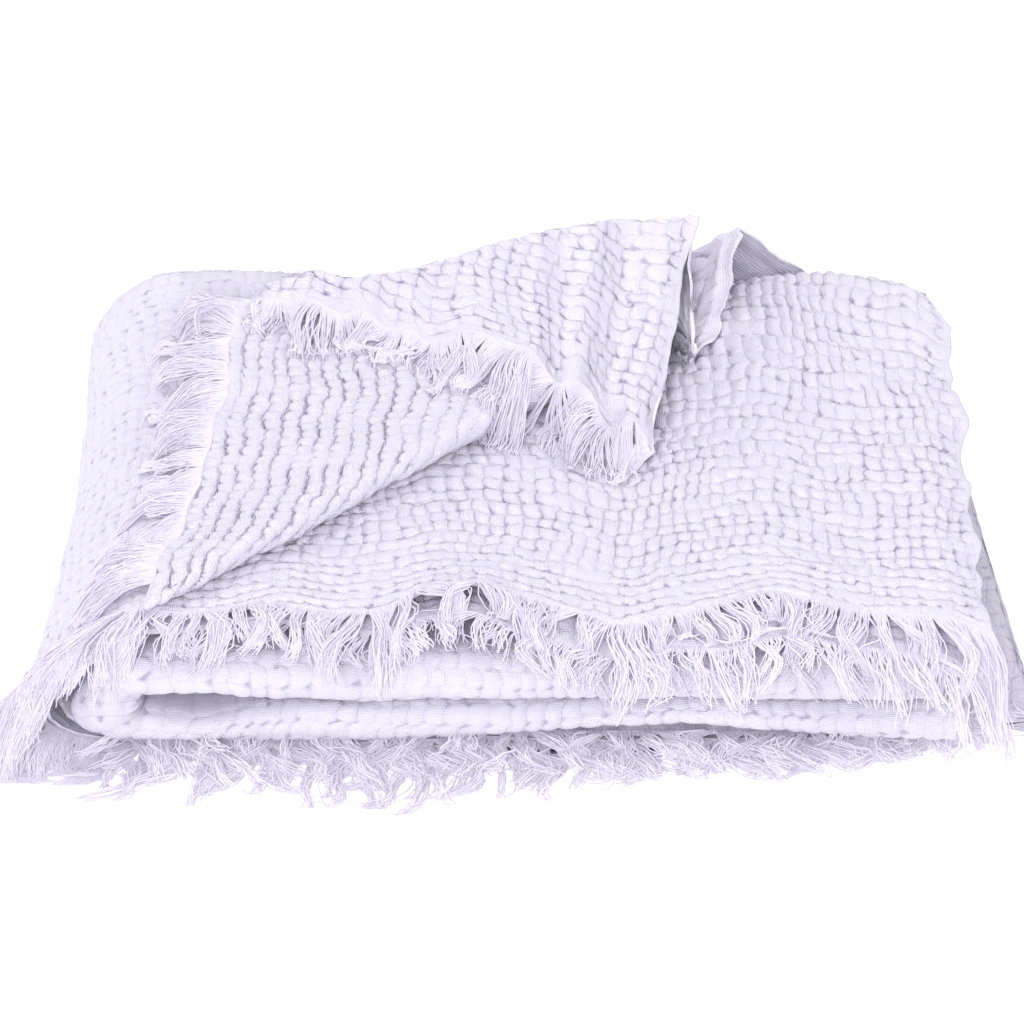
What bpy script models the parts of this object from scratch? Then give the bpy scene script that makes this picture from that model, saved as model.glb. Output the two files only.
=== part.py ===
# A fringed muslin throw, folded to a low pile with its top corner turned back.
#
# The throw is one sheet, 1.80 m along its fringed edges and 1.30 m from fringe to fringe.
# It is folded in half across, twice along its length, and in half across again:
# sixteen plies, in a top and a bottom panel joined by one round fold at the left.
# X is to the right, Y to the back and Z up. The origin is on the underside, at the middle.

import math
import random
from collections import namedtuple

import bmesh
import bpy
from mathutils import Vector
from mathutils.bvhtree import BVHTree

CLOTH = 0.0026  # thickness of the crinkled cloth
SIDE_FOLD_X = -0.188  # where the top panel starts to bend round at the left
SIDE_FOLD_LEAN = 0.27  # how much further left the bend ends, as a share of its half height
SIDE_FOLD_SHARE = 0.92  # how far the left fold bulges, as a share of its half height
BACK_Y = 0.147  # where the plies start to turn at the back
CREASE_Y = -0.154  # where the inner plies start to turn at the front
CROWN = 0.05  # how much higher the middle of the pile is, as a share
CROWN_Y = 0.03  # where the crown's middle is, and how far it reaches each way
CROWN_REACH = 0.26
MUSLIN = (0.84, 0.82, 0.92)
THREAD = (0.86, 0.84, 0.92)

# One row for each ply of a panel, from the crease side to the fringe side: its height and
# its right end in the top panel and in the bottom panel, and its front edge in each.
Ply = namedtuple("Ply", "top_z low_z top_end low_end top_front low_front")
PLIES = {
    1: Ply(0.0440, 0.0380, 0.203, 0.205, None, None),
    2: Ply(0.0520, 0.0310, 0.207, 0.205, None, None),
    3: Ply(0.0610, 0.0240, 0.205, 0.207, None, None),
    4: Ply(0.0695, 0.0170, 0.202, 0.207, None, None),
    5: Ply(0.0760, 0.0121, 0.199, 0.222, -0.122, -0.146),
    6: Ply(0.0805, 0.0085, 0.224, 0.222, -0.166, -0.150),
    7: Ply(0.0850, 0.0049, 0.234, 0.240, -0.147, -0.147),
    8: Ply(0.0895, 0.0013, 0.128, 0.240, -0.150, -0.150),
}
# The way the sheet takes through those plies, from one fringe to the other, in its outer
# half and in its inner half.
OUTER_HALF = (8, 1, 4, 5)
INNER_HALF = (7, 2, 3, 6)

# Lifts of the upper front edge: where along it, how high, how wide, and how far back.
Lift = namedtuple("Lift", "x height width back")
EDGE_LIFTS = (
    Lift(-0.125, 0.004, 0.030, 0.004),
    Lift(-0.030, 0.013, 0.034, 0.012),
    Lift(0.050, 0.002, 0.020, -0.010),
    Lift(0.125, 0.006, 0.034, 0.010),
)

# Soft swells along the back of the pile: where, how high and how wide.
Swell = namedtuple("Swell", "x height width")
BACK_SWELLS = (
    Swell(-0.165, 0.008, 0.070),
    Swell(0.150, 0.009, 0.060),
)

# A ramp grows from 0 where it starts to 1 a run further on.
Ramp = namedtuple("Ramp", "start run")
BACK_RAMP = Ramp(-0.020, 0.140)  # over Y: where the swells set in
LIFT_RAMP = Ramp(-0.070, -0.080)  # over Y: where the lifts of the front edge set in
SLOPE_RAMP = Ramp(-0.080, -0.080)  # over Y: where the right end starts to slope more
LEFT_RAMP = Ramp(0.060, -0.180)  # over X: where the ply under the cover is set back
LOW_RIGHT_RAMP = Ramp(0.120, 0.110)  # over X: where the bottom panel's edge is set back
LOW_FRONT_RAMP = Ramp(-0.050, -0.100)  # over Y: the same
HANG_RAMP = Ramp(-0.140, -0.026)  # over Y: where the two upper plies start to hang
HANG = {6: 0.010, 7: 0.004}

# The two upper plies slope down past the right end of the others, most at the front.
END_X = {6: 0.2005, 7: 0.2095}
END_SLOPE = 0.3
END_CORNER_SLOPE = 0.6
UNDER_SET_BACK = 0.010  # how much further back the ply under the cover ends at the left
LOW_SET_BACK = 0.022  # how much further back the bottom panel's fringed edge ends at the right
LOW_EDGE_Z = 0.0145  # what lies lower than this belongs to that edge
CURL_HEIGHT = 0.013  # how far the cover's selvage stands up at the back

# The turned-back corner, one row for each section across it, from the left fold to the
# selvage. The cloth comes forward from the back edge to the fold, turns over and runs
# to the ridge, and past the pinch turns over once more and comes forward to its fringe.
Section = namedtuple(
    "Section", "across back_x fold_x fold_y ridge_x ridge_y ridge_z edge_x edge_y edge_z"
)
PINCH = 0.50
CORNER = (
    Section(0.00, -0.188, -0.188, -0.150, -0.188, -0.150, 0.0895, -0.188, -0.150, 0.0895),
    Section(0.06, -0.170, -0.161, -0.126, -0.183, -0.124, 0.0945, -0.183, -0.124, 0.0945),
    Section(0.17, -0.135, -0.111, -0.082, -0.171, -0.076, 0.0945, -0.171, -0.076, 0.0945),
    Section(0.33, -0.088, -0.027, -0.002, -0.158, 0.010, 0.0960, -0.158, 0.010, 0.0960),
    Section(0.50, -0.035, 0.053, 0.072, -0.148, 0.106, 0.0985, -0.148, 0.106, 0.0985),
    Section(0.56, -0.015, 0.062, 0.080, -0.117, 0.116, 0.1010, -0.121, 0.096, 0.1085),
    Section(0.64, 0.010, 0.070, 0.085, -0.078, 0.121, 0.1030, -0.082, 0.090, 0.1090),
    Section(0.80, 0.062, 0.080, 0.083, 0.000, 0.145, 0.1090, -0.002, 0.048, 0.1080),
    Section(0.90, 0.095, 0.085, 0.078, 0.046, 0.149, 0.1150, 0.034, 0.014, 0.1040),
    Section(1.00, 0.128, 0.090, 0.072, 0.098, 0.151, 0.1180, 0.067, -0.021, 0.0970),
)
FOLD_RADIUS = 0.0055
FOLD_RADIUS_SHARE = 0.20  # the most that it may be of the run from the fold to the ridge
RIDGE_RADIUS = 0.0060
RIDGE_RADIUS_SHARE = 0.25  # the most that it may be of the run from the ridge to the fringe
UNDERSIDE_RISE = 1.5  # the powers by which the underside rises and the upper side falls
UPPER_SIDE_FALL = 0.8

SAME_PLACE = 0.00005  # points closer than this are one
# Steps of the mesh along each stretch.
TOP_COLUMNS = 16
INNER_TOP_COLUMNS = 12
INNER_TOP_CROWDING = 0.35  # how much closer those columns are towards the selvage
SIDE_FOLD_COLUMNS = 6
LOW_COLUMNS = 4
HEM_FOLD_COLUMNS = 2
EDGE_PLY_ROWS = 5
EDGE_PLY_CROWDING = 1.6  # how much closer those rows are towards the fringe
PLY_ROWS = 3
OUTER_TURN_ROWS = 5
INNER_TURN_ROWS = 3
CORNER_ROWS = (3, 4, 3, 4)  # fold, underside, ridge, upper side

# The fringe: a narrow strip of plain weave beyond the cloth's edge, and its locks.
STRIP_WIDTH = 0.0030
STRIP_THICKNESS = 0.0018
STRIP_GAP = 0.0003
LOCK_SHARE = 0.84  # a lock's width at its root, as a share of its place on the strip
LOCK_TIP_SHARE = 0.34
LOCK_THICKNESS = 0.0016
LOCK_TIP_THICKNESS = 0.0009
LOCK_CLEARANCE = 0.0004
LOCK_ARCH = 0.6  # how much faster a lock reaches out at its root than over its whole length
LEAN_SPREAD = 0.012
LOCK_TRIES = 14
LOCK_SHORTENING = 0.05  # how much shorter each new try is
TRIAL_START = 0.0006  # how far out of the strip a lock has to be free
DRAPE_HEIGHT = 0.0016  # how high a draped lock's middle lies over the cloth
DRAPE_ABOVE = 0.001  # the cloth under a draped lock is looked for from this much higher
DRAPE_BELOW = 0.010  # to this much lower than the lock drops
EDGE_STEP = 0.002  # the shortest step across an edge that shows which way it faces

# One row for each stretch of fringe: the columns it starts and ends at, the edge that it is
# on, its locks to a column and their lengthwise steps, how far they reach out of the cloth,
# drop, spread away from its face and grow along the stretch, how they lean at its first and
# last lock, how uneven they are, and the height that they come down to. Draped locks lie on
# the cloth that is below them.
Fringe = namedtuple(
    "Fringe",
    "node first last edge locks steps reach drop spread growth lean last_lean uneven level drape",
)

FRINGES = (
    Fringe("fringe_floor", 22, 26, "first", 9, 3, .036, .004, 0, 0, -.024, .004, .3, 0, False),
    Fringe("fringe_floor_second", 29, 33, "first", 7, 2, .033, .003, 0, 0, -.002, -.016, .3, .003, False),
    Fringe("fringe_floor_third", 29, 33, "last", 7, 2, .030, .003, 0, 0, -.004, -.010, .3, .006, False),
    Fringe("fringe_floor_fourth", 22, 26, "last", 7, 2, .027, .003, 0, 0, -.006, .004, .3, .009, False),
    Fringe("fringe_side", 16, 22, "first", 2, 3, .020, .022, .022, 0, -.004, -.004, .3, .0045, False),
    Fringe("fringe_side_second", 33, 38, "first", 2, 2, .018, .001, 0, 0, 0, 0, .2, .003, False),
    Fringe("fringe_cover", 38, 50, "first", 4, 3, .031, .020, 0, .2, -.006, .014, .4, 0, False),
    Fringe("fringe_under", 38, 50, "last", 3, 3, .015, .026, 0, .3, -.002, .004, .4, 0, False),
    Fringe("fringe_corner", 1, 8, "corner", 3, 3, .032, .020, 0, 0, -.024, -.014, .4, 0, True),
    Fringe("fringe_flap", 9, 16, "corner", 3, 3, .048, .026, 0, 0, .004, -.002, .4, 0, True),
)

Row = namedtuple("Row", "start end angle along")
Column = namedtuple("Column", "part across")


def mix(a, b, share):
    return a + (b - a) * share


def around(a, b, angle):
    """From a to b by way of a half circle, seen from the side."""
    return (a + b) / 2 + (a - b) / 2 * math.cos(angle)


def clamped(value):
    return max(0.0, min(1.0, value))


def ramped(value, ramp):
    return (value - ramp.start) / ramp.run


def bump(x, middle, width):
    return math.exp(-(((x - middle) / width) ** 2))


def bumps_of(rows, name, x):
    """The sum of what a table's rows add at a place."""
    return sum(getattr(row, name) * bump(x, row.x, row.width) for row in rows)


def section_value(across, name):
    """A smooth reading of the corner's table."""
    rows = CORNER
    k = max(i for i, row in enumerate(rows[:-1]) if row.across <= across)
    here, there = rows[k], rows[k + 1]
    t = (across - here.across) / (there.across - here.across)

    def slope(i):
        low, high = rows[max(i - 1, 0)], rows[min(i + 1, len(rows) - 1)]
        return (getattr(high, name) - getattr(low, name)) / (high.across - low.across)

    run = there.across - here.across
    a, b = getattr(here, name), getattr(there, name)
    m, n = slope(k) * run, slope(k + 1) * run
    return (
        (2 * t**3 - 3 * t**2 + 1) * a
        + (t**3 - 2 * t**2 + t) * m
        + (3 * t**2 - 2 * t**3) * b
        + (t**3 - t**2) * n
    )


def section_point(across, name):
    return Vector(section_value(across, f"{name}_{axis}") for axis in "xy").to_3d()


def rows_through(levels):
    """The rows of the sheet, from its first fringe to its second."""
    first, second, third, fourth = levels
    edge = [(i / EDGE_PLY_ROWS) ** EDGE_PLY_CROWDING for i in range(EDGE_PLY_ROWS + 1)]
    rows = [Row(first, first, 0, along) for along in edge[:-1]]
    rows += [
        Row(first, second, math.pi * i / OUTER_TURN_ROWS, 1)
        for i in range(OUTER_TURN_ROWS)
    ]
    rows += [Row(second, second, 0, 1 - i / PLY_ROWS) for i in range(PLY_ROWS)]
    rows += [
        Row(second, third, math.pi * i / OUTER_TURN_ROWS, 0)
        for i in range(OUTER_TURN_ROWS)
    ]
    rows += [Row(third, third, 0, i / PLY_ROWS) for i in range(PLY_ROWS)]
    rows += [
        Row(third, fourth, math.pi * i / INNER_TURN_ROWS, 1)
        for i in range(INNER_TURN_ROWS)
    ]
    rows += [Row(fourth, fourth, 0, along) for along in reversed(edge)]
    return rows


def columns_across():
    """The columns of the sheet, from the selvage of its outer half to that of its inner half."""
    side = [math.pi * i / SIDE_FOLD_COLUMNS for i in range(SIDE_FOLD_COLUMNS)]
    outer = [Column("top", 1 - i / TOP_COLUMNS) for i in range(TOP_COLUMNS)]
    outer += [Column("side", angle) for angle in side]
    outer += [Column("low", i / LOW_COLUMNS) for i in range(LOW_COLUMNS)]
    hem = [
        Column("hem", math.pi * i / HEM_FOLD_COLUMNS) for i in range(HEM_FOLD_COLUMNS + 1)
    ]
    inner = [Column("low", 1 - i / LOW_COLUMNS) for i in range(1, LOW_COLUMNS + 1)]
    inner += [Column("side", math.pi - angle) for angle in side[1:]]
    for i in range(INNER_TOP_COLUMNS + 1):
        step = i / INNER_TOP_COLUMNS
        inner.append(Column("top", step * (1 + INNER_TOP_CROWDING * (1 - step))))
    return outer, hem, inner


def front_edge(ply, part, across):
    """Where a ply's fringed edge is, or where an inner ply starts its front turn."""
    top, low = PLIES[ply].top_front, PLIES[ply].low_front
    if top is None:
        return CREASE_Y
    if part == "side":
        return around(top, low, across)
    return top if part == "top" else low


def flat_place(row, part, across):
    """The point of a row and column before the pile is crowned and its edges are lifted."""
    a, b = PLIES[row.start], PLIES[row.end]
    top_z, low_z = around(a.top_z, b.top_z, row.angle), around(a.low_z, b.low_z, row.angle)
    top_half, low_half = abs(a.top_z - b.top_z) / 2, abs(a.low_z - b.low_z) / 2
    side_half = (top_z - low_z) / 2
    low_x = SIDE_FOLD_X - SIDE_FOLD_LEAN * side_half
    if part == "side":
        x = around(SIDE_FOLD_X, low_x, across)
        x -= SIDE_FOLD_SHARE * side_half * math.sin(across)
        z = around(top_z, low_z, across)
        half = around(top_half, low_half, across)
    elif part == "top":
        x = mix(SIDE_FOLD_X, around(a.top_end, b.top_end, row.angle), across)
        z, half = top_z, top_half
    else:
        x = mix(low_x, around(a.low_end, b.low_end, row.angle), across)
        z, half = low_z, low_half
    y = mix(front_edge(row.start, part, across), BACK_Y, row.along)
    if row.angle:
        y += half * math.sin(row.angle) * (1 if row.along else -1)
    return Vector((x, y, z))


def base_place(row, across):
    """The corner's lowest layer, which lies on the pile from the back edge to the fold."""
    fold = section_point(across, "fold")
    back = Vector((section_value(across, "back_x"), BACK_Y, 0))
    place = fold.lerp(back, row.along) + Vector((0, 0, PLIES[8].top_z))
    place.z += selvage_curl(row, across)
    return place


def selvage_curl(row, across):
    """How far the selvage stands up at the back, in the last quarter of its ply."""
    back = clamped(2 * row.along - 1) * (1 + math.cos(row.angle)) / 2
    return CURL_HEIGHT * clamped(4 * across - 3) * back


def shaped(point, ply=0):
    """Lifts the upper front edge, lets the edges hang, and crowns the pile."""
    x, y, z = point
    if z < LOW_EDGE_Z:
        right = clamped(ramped(x, LOW_RIGHT_RAMP))
        y += LOW_SET_BACK * right**2 * clamped(ramped(y, LOW_FRONT_RAMP))
    if ply in HANG and z > PLIES[5].top_z:
        if ply == 6:
            left = clamped(ramped(x, LEFT_RAMP))
            y += UNDER_SET_BACK * left * clamped(ramped(y, LIFT_RAMP))
        if ply == 7:
            front = clamped(ramped(y, LIFT_RAMP)) ** 2
            z += front * bumps_of(EDGE_LIFTS, "height", x)
            y += front * bumps_of(EDGE_LIFTS, "back", x)
        z -= HANG[ply] * max(0.0, ramped(y, HANG_RAMP)) ** 2
        front = clamped(ramped(y, SLOPE_RAMP)) ** 2
        z -= max(0.0, x - END_X[ply]) * (END_SLOPE + END_CORNER_SLOPE * front)
    middle = 1 - (x / CROWN_REACH) ** 2
    middle *= 1 - ((y - CROWN_Y) / CROWN_REACH) ** 2
    back = clamped(ramped(y, BACK_RAMP)) * z / PLIES[8].top_z
    z += (z - PLIES[8].low_z) * CROWN * max(0.0, middle)
    return Vector((x, y, z + back**2 * bumps_of(BACK_SWELLS, "height", x)))


def sheet_place(row_pair, column):
    """The point of the sheet for a row, given in both halves, and a column."""
    half, part, across = column
    if half == "hem":
        outer = flat_place(row_pair[0], "low", 1)
        inner = flat_place(row_pair[1], "low", 1)
        point = outer.lerp(inner, (1 - math.cos(across)) / 2)
        point.x += (outer - inner).length / 2 * math.sin(across)
        return shaped(point)
    row = row_pair[0] if half == "outer" else row_pair[1]
    if half == "outer" and part == "top" and row.start == row.end == 8:
        return shaped(base_place(row, across))
    place = flat_place(row, part, across)
    if row.start == 8 and part == "top":
        place.z += selvage_curl(row, across)
    return shaped(place, row.start if row.start == row.end else 0)


def corner_place(across, steps):
    """The points of the turned-back corner at one section, from the fold to the fringe."""
    fold, ridge, edge = (section_point(across, n) for n in ("fold", "ridge", "edge"))
    base = PLIES[8].top_z
    if across <= PINCH:
        ridge = edge.copy()
    edge_z, ridge_z = section_value(across, "edge_z"), section_value(across, "ridge_z")
    if across <= PINCH:
        ridge_z = edge_z
    run = ridge - fold
    radius = min(FOLD_RADIUS, run.length * FOLD_RADIUS_SHARE)
    inward = run.normalized() if run.length else Vector((0, 0, 0))
    points = []
    turn, under, over_turn, over = steps
    for i in range(turn):
        angle = math.pi * i / turn
        rise = radius * (1 - math.cos(angle))
        points.append(fold - inward * radius * math.sin(angle) + Vector((0, 0, base + rise)))
    upper = base + 2 * radius
    for i in range(under):
        share = i / under
        z = mix(upper, ridge_z, share**UNDERSIDE_RISE)
        points.append(fold.lerp(ridge, share) + Vector((0, 0, z)))
    radius = min(RIDGE_RADIUS, (edge - ridge).length * RIDGE_RADIUS_SHARE)
    for i in range(over_turn):
        angle = math.pi * i / over_turn
        rise = radius * (1 - math.cos(angle))
        points.append(ridge + inward * radius * math.sin(angle) + Vector((0, 0, ridge_z + rise)))
    for i in range(over + 1):
        share = i / over
        z = mix(ridge_z + 2 * radius, edge_z, share**UPPER_SIDE_FALL)
        points.append(ridge.lerp(edge, share) + Vector((0, 0, z)))
    return [shaped(point) for point in points]


def grid_of(mesh, points):
    """Adds a grid of faces through a table of points to a mesh."""
    across, along = len(points) - 1, len(points[0]) - 1
    made = bmesh.ops.create_grid(mesh, x_segments=across, y_segments=along, size=1)
    for vert in made["verts"]:
        i = round((vert.co.x + 1) / 2 * across)
        j = round((vert.co.y + 1) / 2 * along)
        vert.co = points[i][j]


def material(name, colour):
    made = bpy.data.materials.new(name)
    made.use_nodes = True
    shader = made.node_tree.nodes["Principled BSDF"]
    shader.inputs["Base Color"].default_value = (*colour, 1)
    shader.inputs["Roughness"].default_value = 0.9
    shader.inputs["Metallic"].default_value = 0.0
    return made


def object_of(name, mesh, look):
    data = bpy.data.meshes.new(name)
    mesh.to_mesh(data)
    mesh.free()
    data.materials.append(look)
    made = bpy.data.objects.new(name, data)
    bpy.context.scene.collection.objects.link(made)
    return made


def cloth_points():
    """The middle surface of the throw: its main grid and its turned-back corner's grid."""
    rows = list(zip(rows_through(OUTER_HALF), rows_through(INNER_HALF)))
    outer, hem, inner = columns_across()
    columns = [("outer", *c) for c in outer]
    columns += [("hem", *c) for c in hem]
    columns += [("inner", *c) for c in inner]
    sheet = [[sheet_place(row, column) for row in rows] for column in columns]
    sections = [i / TOP_COLUMNS for i in range(TOP_COLUMNS + 1)]
    return sheet, [corner_place(across, CORNER_ROWS) for across in sections]


def cloth(sheet, corner, look):
    """The whole throw as one sheet, given its thickness by a Solidify."""
    mesh = bmesh.new()
    grid_of(mesh, sheet)
    grid_of(mesh, corner)
    bmesh.ops.remove_doubles(mesh, verts=mesh.verts, dist=SAME_PLACE)
    bmesh.ops.dissolve_degenerate(mesh, edges=mesh.edges, dist=SAME_PLACE)
    bmesh.ops.recalc_face_normals(mesh, faces=mesh.faces)
    tips = (corner[0][-1], corner[round(PINCH * TOP_COLUMNS)][-1])
    weights = mesh.verts.layers.deform.verify()
    for vert in mesh.verts:
        at_tip = any((vert.co - tip).length < SAME_PLACE for tip in tips)
        vert[weights][0] = 0.0 if at_tip else 1.0
    made = object_of("throw_cloth", mesh, look)
    solid = made.modifiers.new("thickness", "SOLIDIFY")
    solid.thickness = CLOTH
    solid.offset = 0
    solid.use_even_offset = False
    solid.vertex_group = made.vertex_groups.new(name="thickness").name
    return made


def edge_of(fringe, sheet, corner):
    """The cloth's fringed edge along a stretch, as points with the way out of the cloth."""
    grid = corner if fringe.edge == "corner" else sheet
    found = []
    for column in grid[fringe.first : fringe.last + 1]:
        inwards = column if fringe.edge == "first" else column[::-1]
        outs = [inwards[0] - point for point in inwards[1:]]
        outs = [out for out in outs if out.length > EDGE_STEP]
        found.append((inwards[0], outs[0].normalized()))
    return found


def stations_of(edge, locks):
    """Places along an edge, two for each lock, as point, way out and way along."""
    found = []
    for (a, out_a), (b, out_b) in zip(edge, edge[1:]):
        side = (b - a).normalized()
        for i in range(locks):
            for end in (-1, 1):
                share = (i + 0.5 + end * LOCK_SHARE / 2) / locks
                found.append((a.lerp(b, share), out_a.lerp(out_b, share), side))
    return found


def ring_at(middle, side, up, width, thickness):
    """The four corners of a lock or strip where it is cut across."""
    side, up = side * width / 2, up * thickness / 2
    return [middle + side + up, middle - side + up, middle - side - up, middle + side - up]


def extruded(mesh, face, ring, corner):
    """Draws a face out to a new ring. Each point knows which corner of it is its own."""
    made = bmesh.ops.extrude_face_region(mesh, geom=[face])["geom"]
    new = next(item for item in made if isinstance(item, bmesh.types.BMFace))
    for vert in new.verts:
        vert.co = ring[vert[corner]]
    mesh.faces.remove(face)
    return new


def strip(mesh, stations, corner):
    """The strip as one bar along the edge. Gives the faces that its locks grow from."""
    rings = []
    for point, out, side in stations:
        middle = point + out * (STRIP_GAP + STRIP_WIDTH / 2)
        up = side.cross(out).normalized()
        rings.append(ring_at(middle, out, up, STRIP_WIDTH, STRIP_THICKNESS))
    face = mesh.faces.new([mesh.verts.new(place) for place in rings[0]])
    for number, vert in enumerate(face.verts):
        vert[corner] = number
    seen = [list(face.verts)]
    for ring in rings[1:]:
        face = extruded(mesh, face, ring, corner)
        seen.append(sorted(face.verts, key=lambda vert: vert[corner]))
    mesh.faces.new(seen[0])
    fronts = []
    for low, high in zip(seen[0::2], seen[1::2]):
        corners = {low[0], low[3], high[0], high[3]}
        fronts.append(next(f for f in low[0].link_faces if set(f.verts) == corners))
        for vert, number in zip((high[0], low[0], low[3], high[3]), range(4)):
            vert[corner] = number
    return fronts


def lock_path(fringe, place, root, out, side, chance, shorter, ground):
    """The middle of one lock, root first. Its place is 0 to 1 along the stretch."""
    longer = shorter * (1 + fringe.growth * place)
    reach = fringe.reach * longer * (1 + fringe.uneven * (chance.random() - 0.5))
    drop = fringe.drop * longer * (1 + fringe.uneven * (chance.random() - 0.5))
    lean = mix(fringe.lean, fringe.last_lean, place)
    lean += LEAN_SPREAD * fringe.uneven * (chance.random() - 0.5)
    up = side.cross(out).normalized()
    path = []
    for i in range(fringe.steps + 1):
        t = i / fringe.steps
        point = root + out * reach * t * (1 + LOCK_ARCH * (1 - t)) + side * lean * t
        point += up * fringe.spread * shorter * t
        point.z = max(point.z - drop * t * t, ground(point))
        path.append(point)
    return path


def lock_rings(path, side, width):
    rings = []
    for i, point in enumerate(path[1:], 1):
        t = i / (len(path) - 1)
        along = (point - path[i - 1]).normalized()
        across = (side - along * side.dot(along)).normalized()
        up = across.cross(along).normalized()
        wide = width * mix(1, LOCK_TIP_SHARE, t)
        thick = mix(LOCK_THICKNESS, LOCK_TIP_THICKNESS, t)
        rings.append(ring_at(point, across, up, wide, thick))
    return rings


def trial_of(root, rings, grow):
    """A lock as a tree to test against what is there, a little larger than it will be."""
    verts, faces = [], []
    for ring in [root, *rings]:
        middle = sum(ring, Vector()) / 4
        verts += [place + (place - middle).normalized() * grow for place in ring]
    for i in range(len(rings)):
        for a in range(4):
            b = (a + 1) % 4
            faces.append((4 * i + a, 4 * i + b, 4 * i + 4 + b, 4 * i + 4 + a))
    last = 4 * len(rings)
    faces.append((last, last + 1, last + 2, last + 3))
    return BVHTree.FromPolygons(verts, faces)


def ground_for(fringe, cloth_tree):
    """How low a lock's middle may lie at a point, for the way that its stretch lies."""
    lowest = fringe.level + LOCK_THICKNESS / 2
    reach = DRAPE_ABOVE + fringe.drop + DRAPE_BELOW

    def ground(point):
        if not fringe.drape:
            return lowest
        start = point + Vector((0, 0, DRAPE_ABOVE))
        hit = cloth_tree.ray_cast(start, Vector((0, 0, -1)), reach)[0]
        return max(lowest, hit.z + DRAPE_HEIGHT) if hit else lowest

    return ground


def fringe_solid(fringe, sheet, turned, cloth_tree, placed, look):
    """One strip and its locks. Each lock touches nothing, and one with no free way is left out."""
    chance = random.Random(fringe.node)
    mesh = bmesh.new()
    corner = mesh.verts.layers.int.new("corner")
    stations = stations_of(edge_of(fringe, sheet, turned), fringe.locks)
    ground = ground_for(fringe, cloth_tree)
    own = []
    fronts = strip(mesh, stations, corner)
    for number, face in enumerate(fronts):
        (a, out_a, side), (b, out_b, _) = stations[2 * number : 2 * number + 2]
        place = number / (len(fronts) - 1)
        out = (out_a + out_b).normalized()
        root = face.calc_center_median()
        width = (b - a).length
        start = root + out * TRIAL_START
        near = ring_at(start, side, side.cross(out), width, STRIP_THICKNESS)
        for attempt in range(LOCK_TRIES):
            shorter = 1 - LOCK_SHORTENING * attempt
            path = lock_path(fringe, place, root, out, side, chance, shorter, ground)
            rings = lock_rings(path, side, width)
            trial = trial_of(near, rings, LOCK_CLEARANCE)
            if not any(trial.overlap(tree) for tree in [cloth_tree, *placed, *own]):
                break
        else:
            continue
        own.append(trial_of(near, rings, 0))
        for ring in rings:
            face = extruded(mesh, face, ring, corner)
    bmesh.ops.recalc_face_normals(mesh, faces=mesh.faces)
    made = object_of(fringe.node, mesh, look)
    placed.append(BVHTree.FromObject(made, bpy.context.evaluated_depsgraph_get()))
    return made


def main():
    for old in list(bpy.data.objects):
        bpy.data.objects.remove(old)
    sheet, corner = cloth_points()
    whole = cloth(sheet, corner, material("muslin", MUSLIN))
    cloth_tree = BVHTree.FromObject(whole, bpy.context.evaluated_depsgraph_get())
    placed = []
    for fringe in FRINGES:
        thread = material(f"{fringe.node}_thread", THREAD)
        fringe_solid(fringe, sheet, corner, cloth_tree, placed, thread)


main()
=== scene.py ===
import math
import random

import bmesh
import bpy
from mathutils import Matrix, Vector, noise
from mathutils.bvhtree import BVHTree


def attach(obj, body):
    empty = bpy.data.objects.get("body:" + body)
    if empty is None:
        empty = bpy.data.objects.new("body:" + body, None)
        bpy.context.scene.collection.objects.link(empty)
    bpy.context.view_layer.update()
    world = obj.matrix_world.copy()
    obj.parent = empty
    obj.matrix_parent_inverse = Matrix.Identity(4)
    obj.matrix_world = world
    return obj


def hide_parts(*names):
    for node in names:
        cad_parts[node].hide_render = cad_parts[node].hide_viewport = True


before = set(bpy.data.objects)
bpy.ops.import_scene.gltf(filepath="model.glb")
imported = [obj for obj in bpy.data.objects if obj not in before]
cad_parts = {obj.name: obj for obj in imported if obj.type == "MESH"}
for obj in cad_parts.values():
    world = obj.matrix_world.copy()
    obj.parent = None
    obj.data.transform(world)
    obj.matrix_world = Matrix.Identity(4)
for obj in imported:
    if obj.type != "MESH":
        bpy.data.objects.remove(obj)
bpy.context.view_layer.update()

# Metres. X is to the right, Y to the back and Z up, and z = 0 is what the throw lies on.
pile = {
    "sideFoldX": -0.188,  # where the top panel starts to bend round at the left
    "sideFoldLean": 0.27,  # how much further left the bend ends, as a share of its half height
    "sideFoldShare": 0.87,  # how far the left fold bulges, as a share of its half height
    "backY": 0.147,  # where the plies start to turn at the back
    "creaseY": -0.154,  # where the inner plies start to turn at the front
    "crown": 0.05,  # how much higher the middle is, as a share
    "crownY": 0.03,
    "crownReach": 0.26,
    "curlHeight": 0.0235,  # how far the cover's selvage stands up at the back
    "endSlope": 0.3,  # how the two upper plies slope down past the others' right end
    "endCornerSlope": 0.25,
    "endBackSlope": 0.25,
    "flare": 0.024,  # how much further right the bottom panel ends in front than at the back
    "skirt": 0.64,  # how far the lower half of the left fold leans out, as a share of its half height
    "skirtBack": 0.06,  # how much of that is left at the back, and how soon it fades
    "skirtFade": 2.5,
    "coverTurn": 1.5,  # above 1 the upper ply keeps its width further round the back
    "topWidth": 0.42,  # of the top panel, from the left fold to its selvage
    "shoulder": 0.30,  # how far its upper half bulges at the back
    "underSetBack": 0.015,
    "lowSetBack": 0.022,
    "lowEdgeZ": 0.0145,
}

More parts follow.
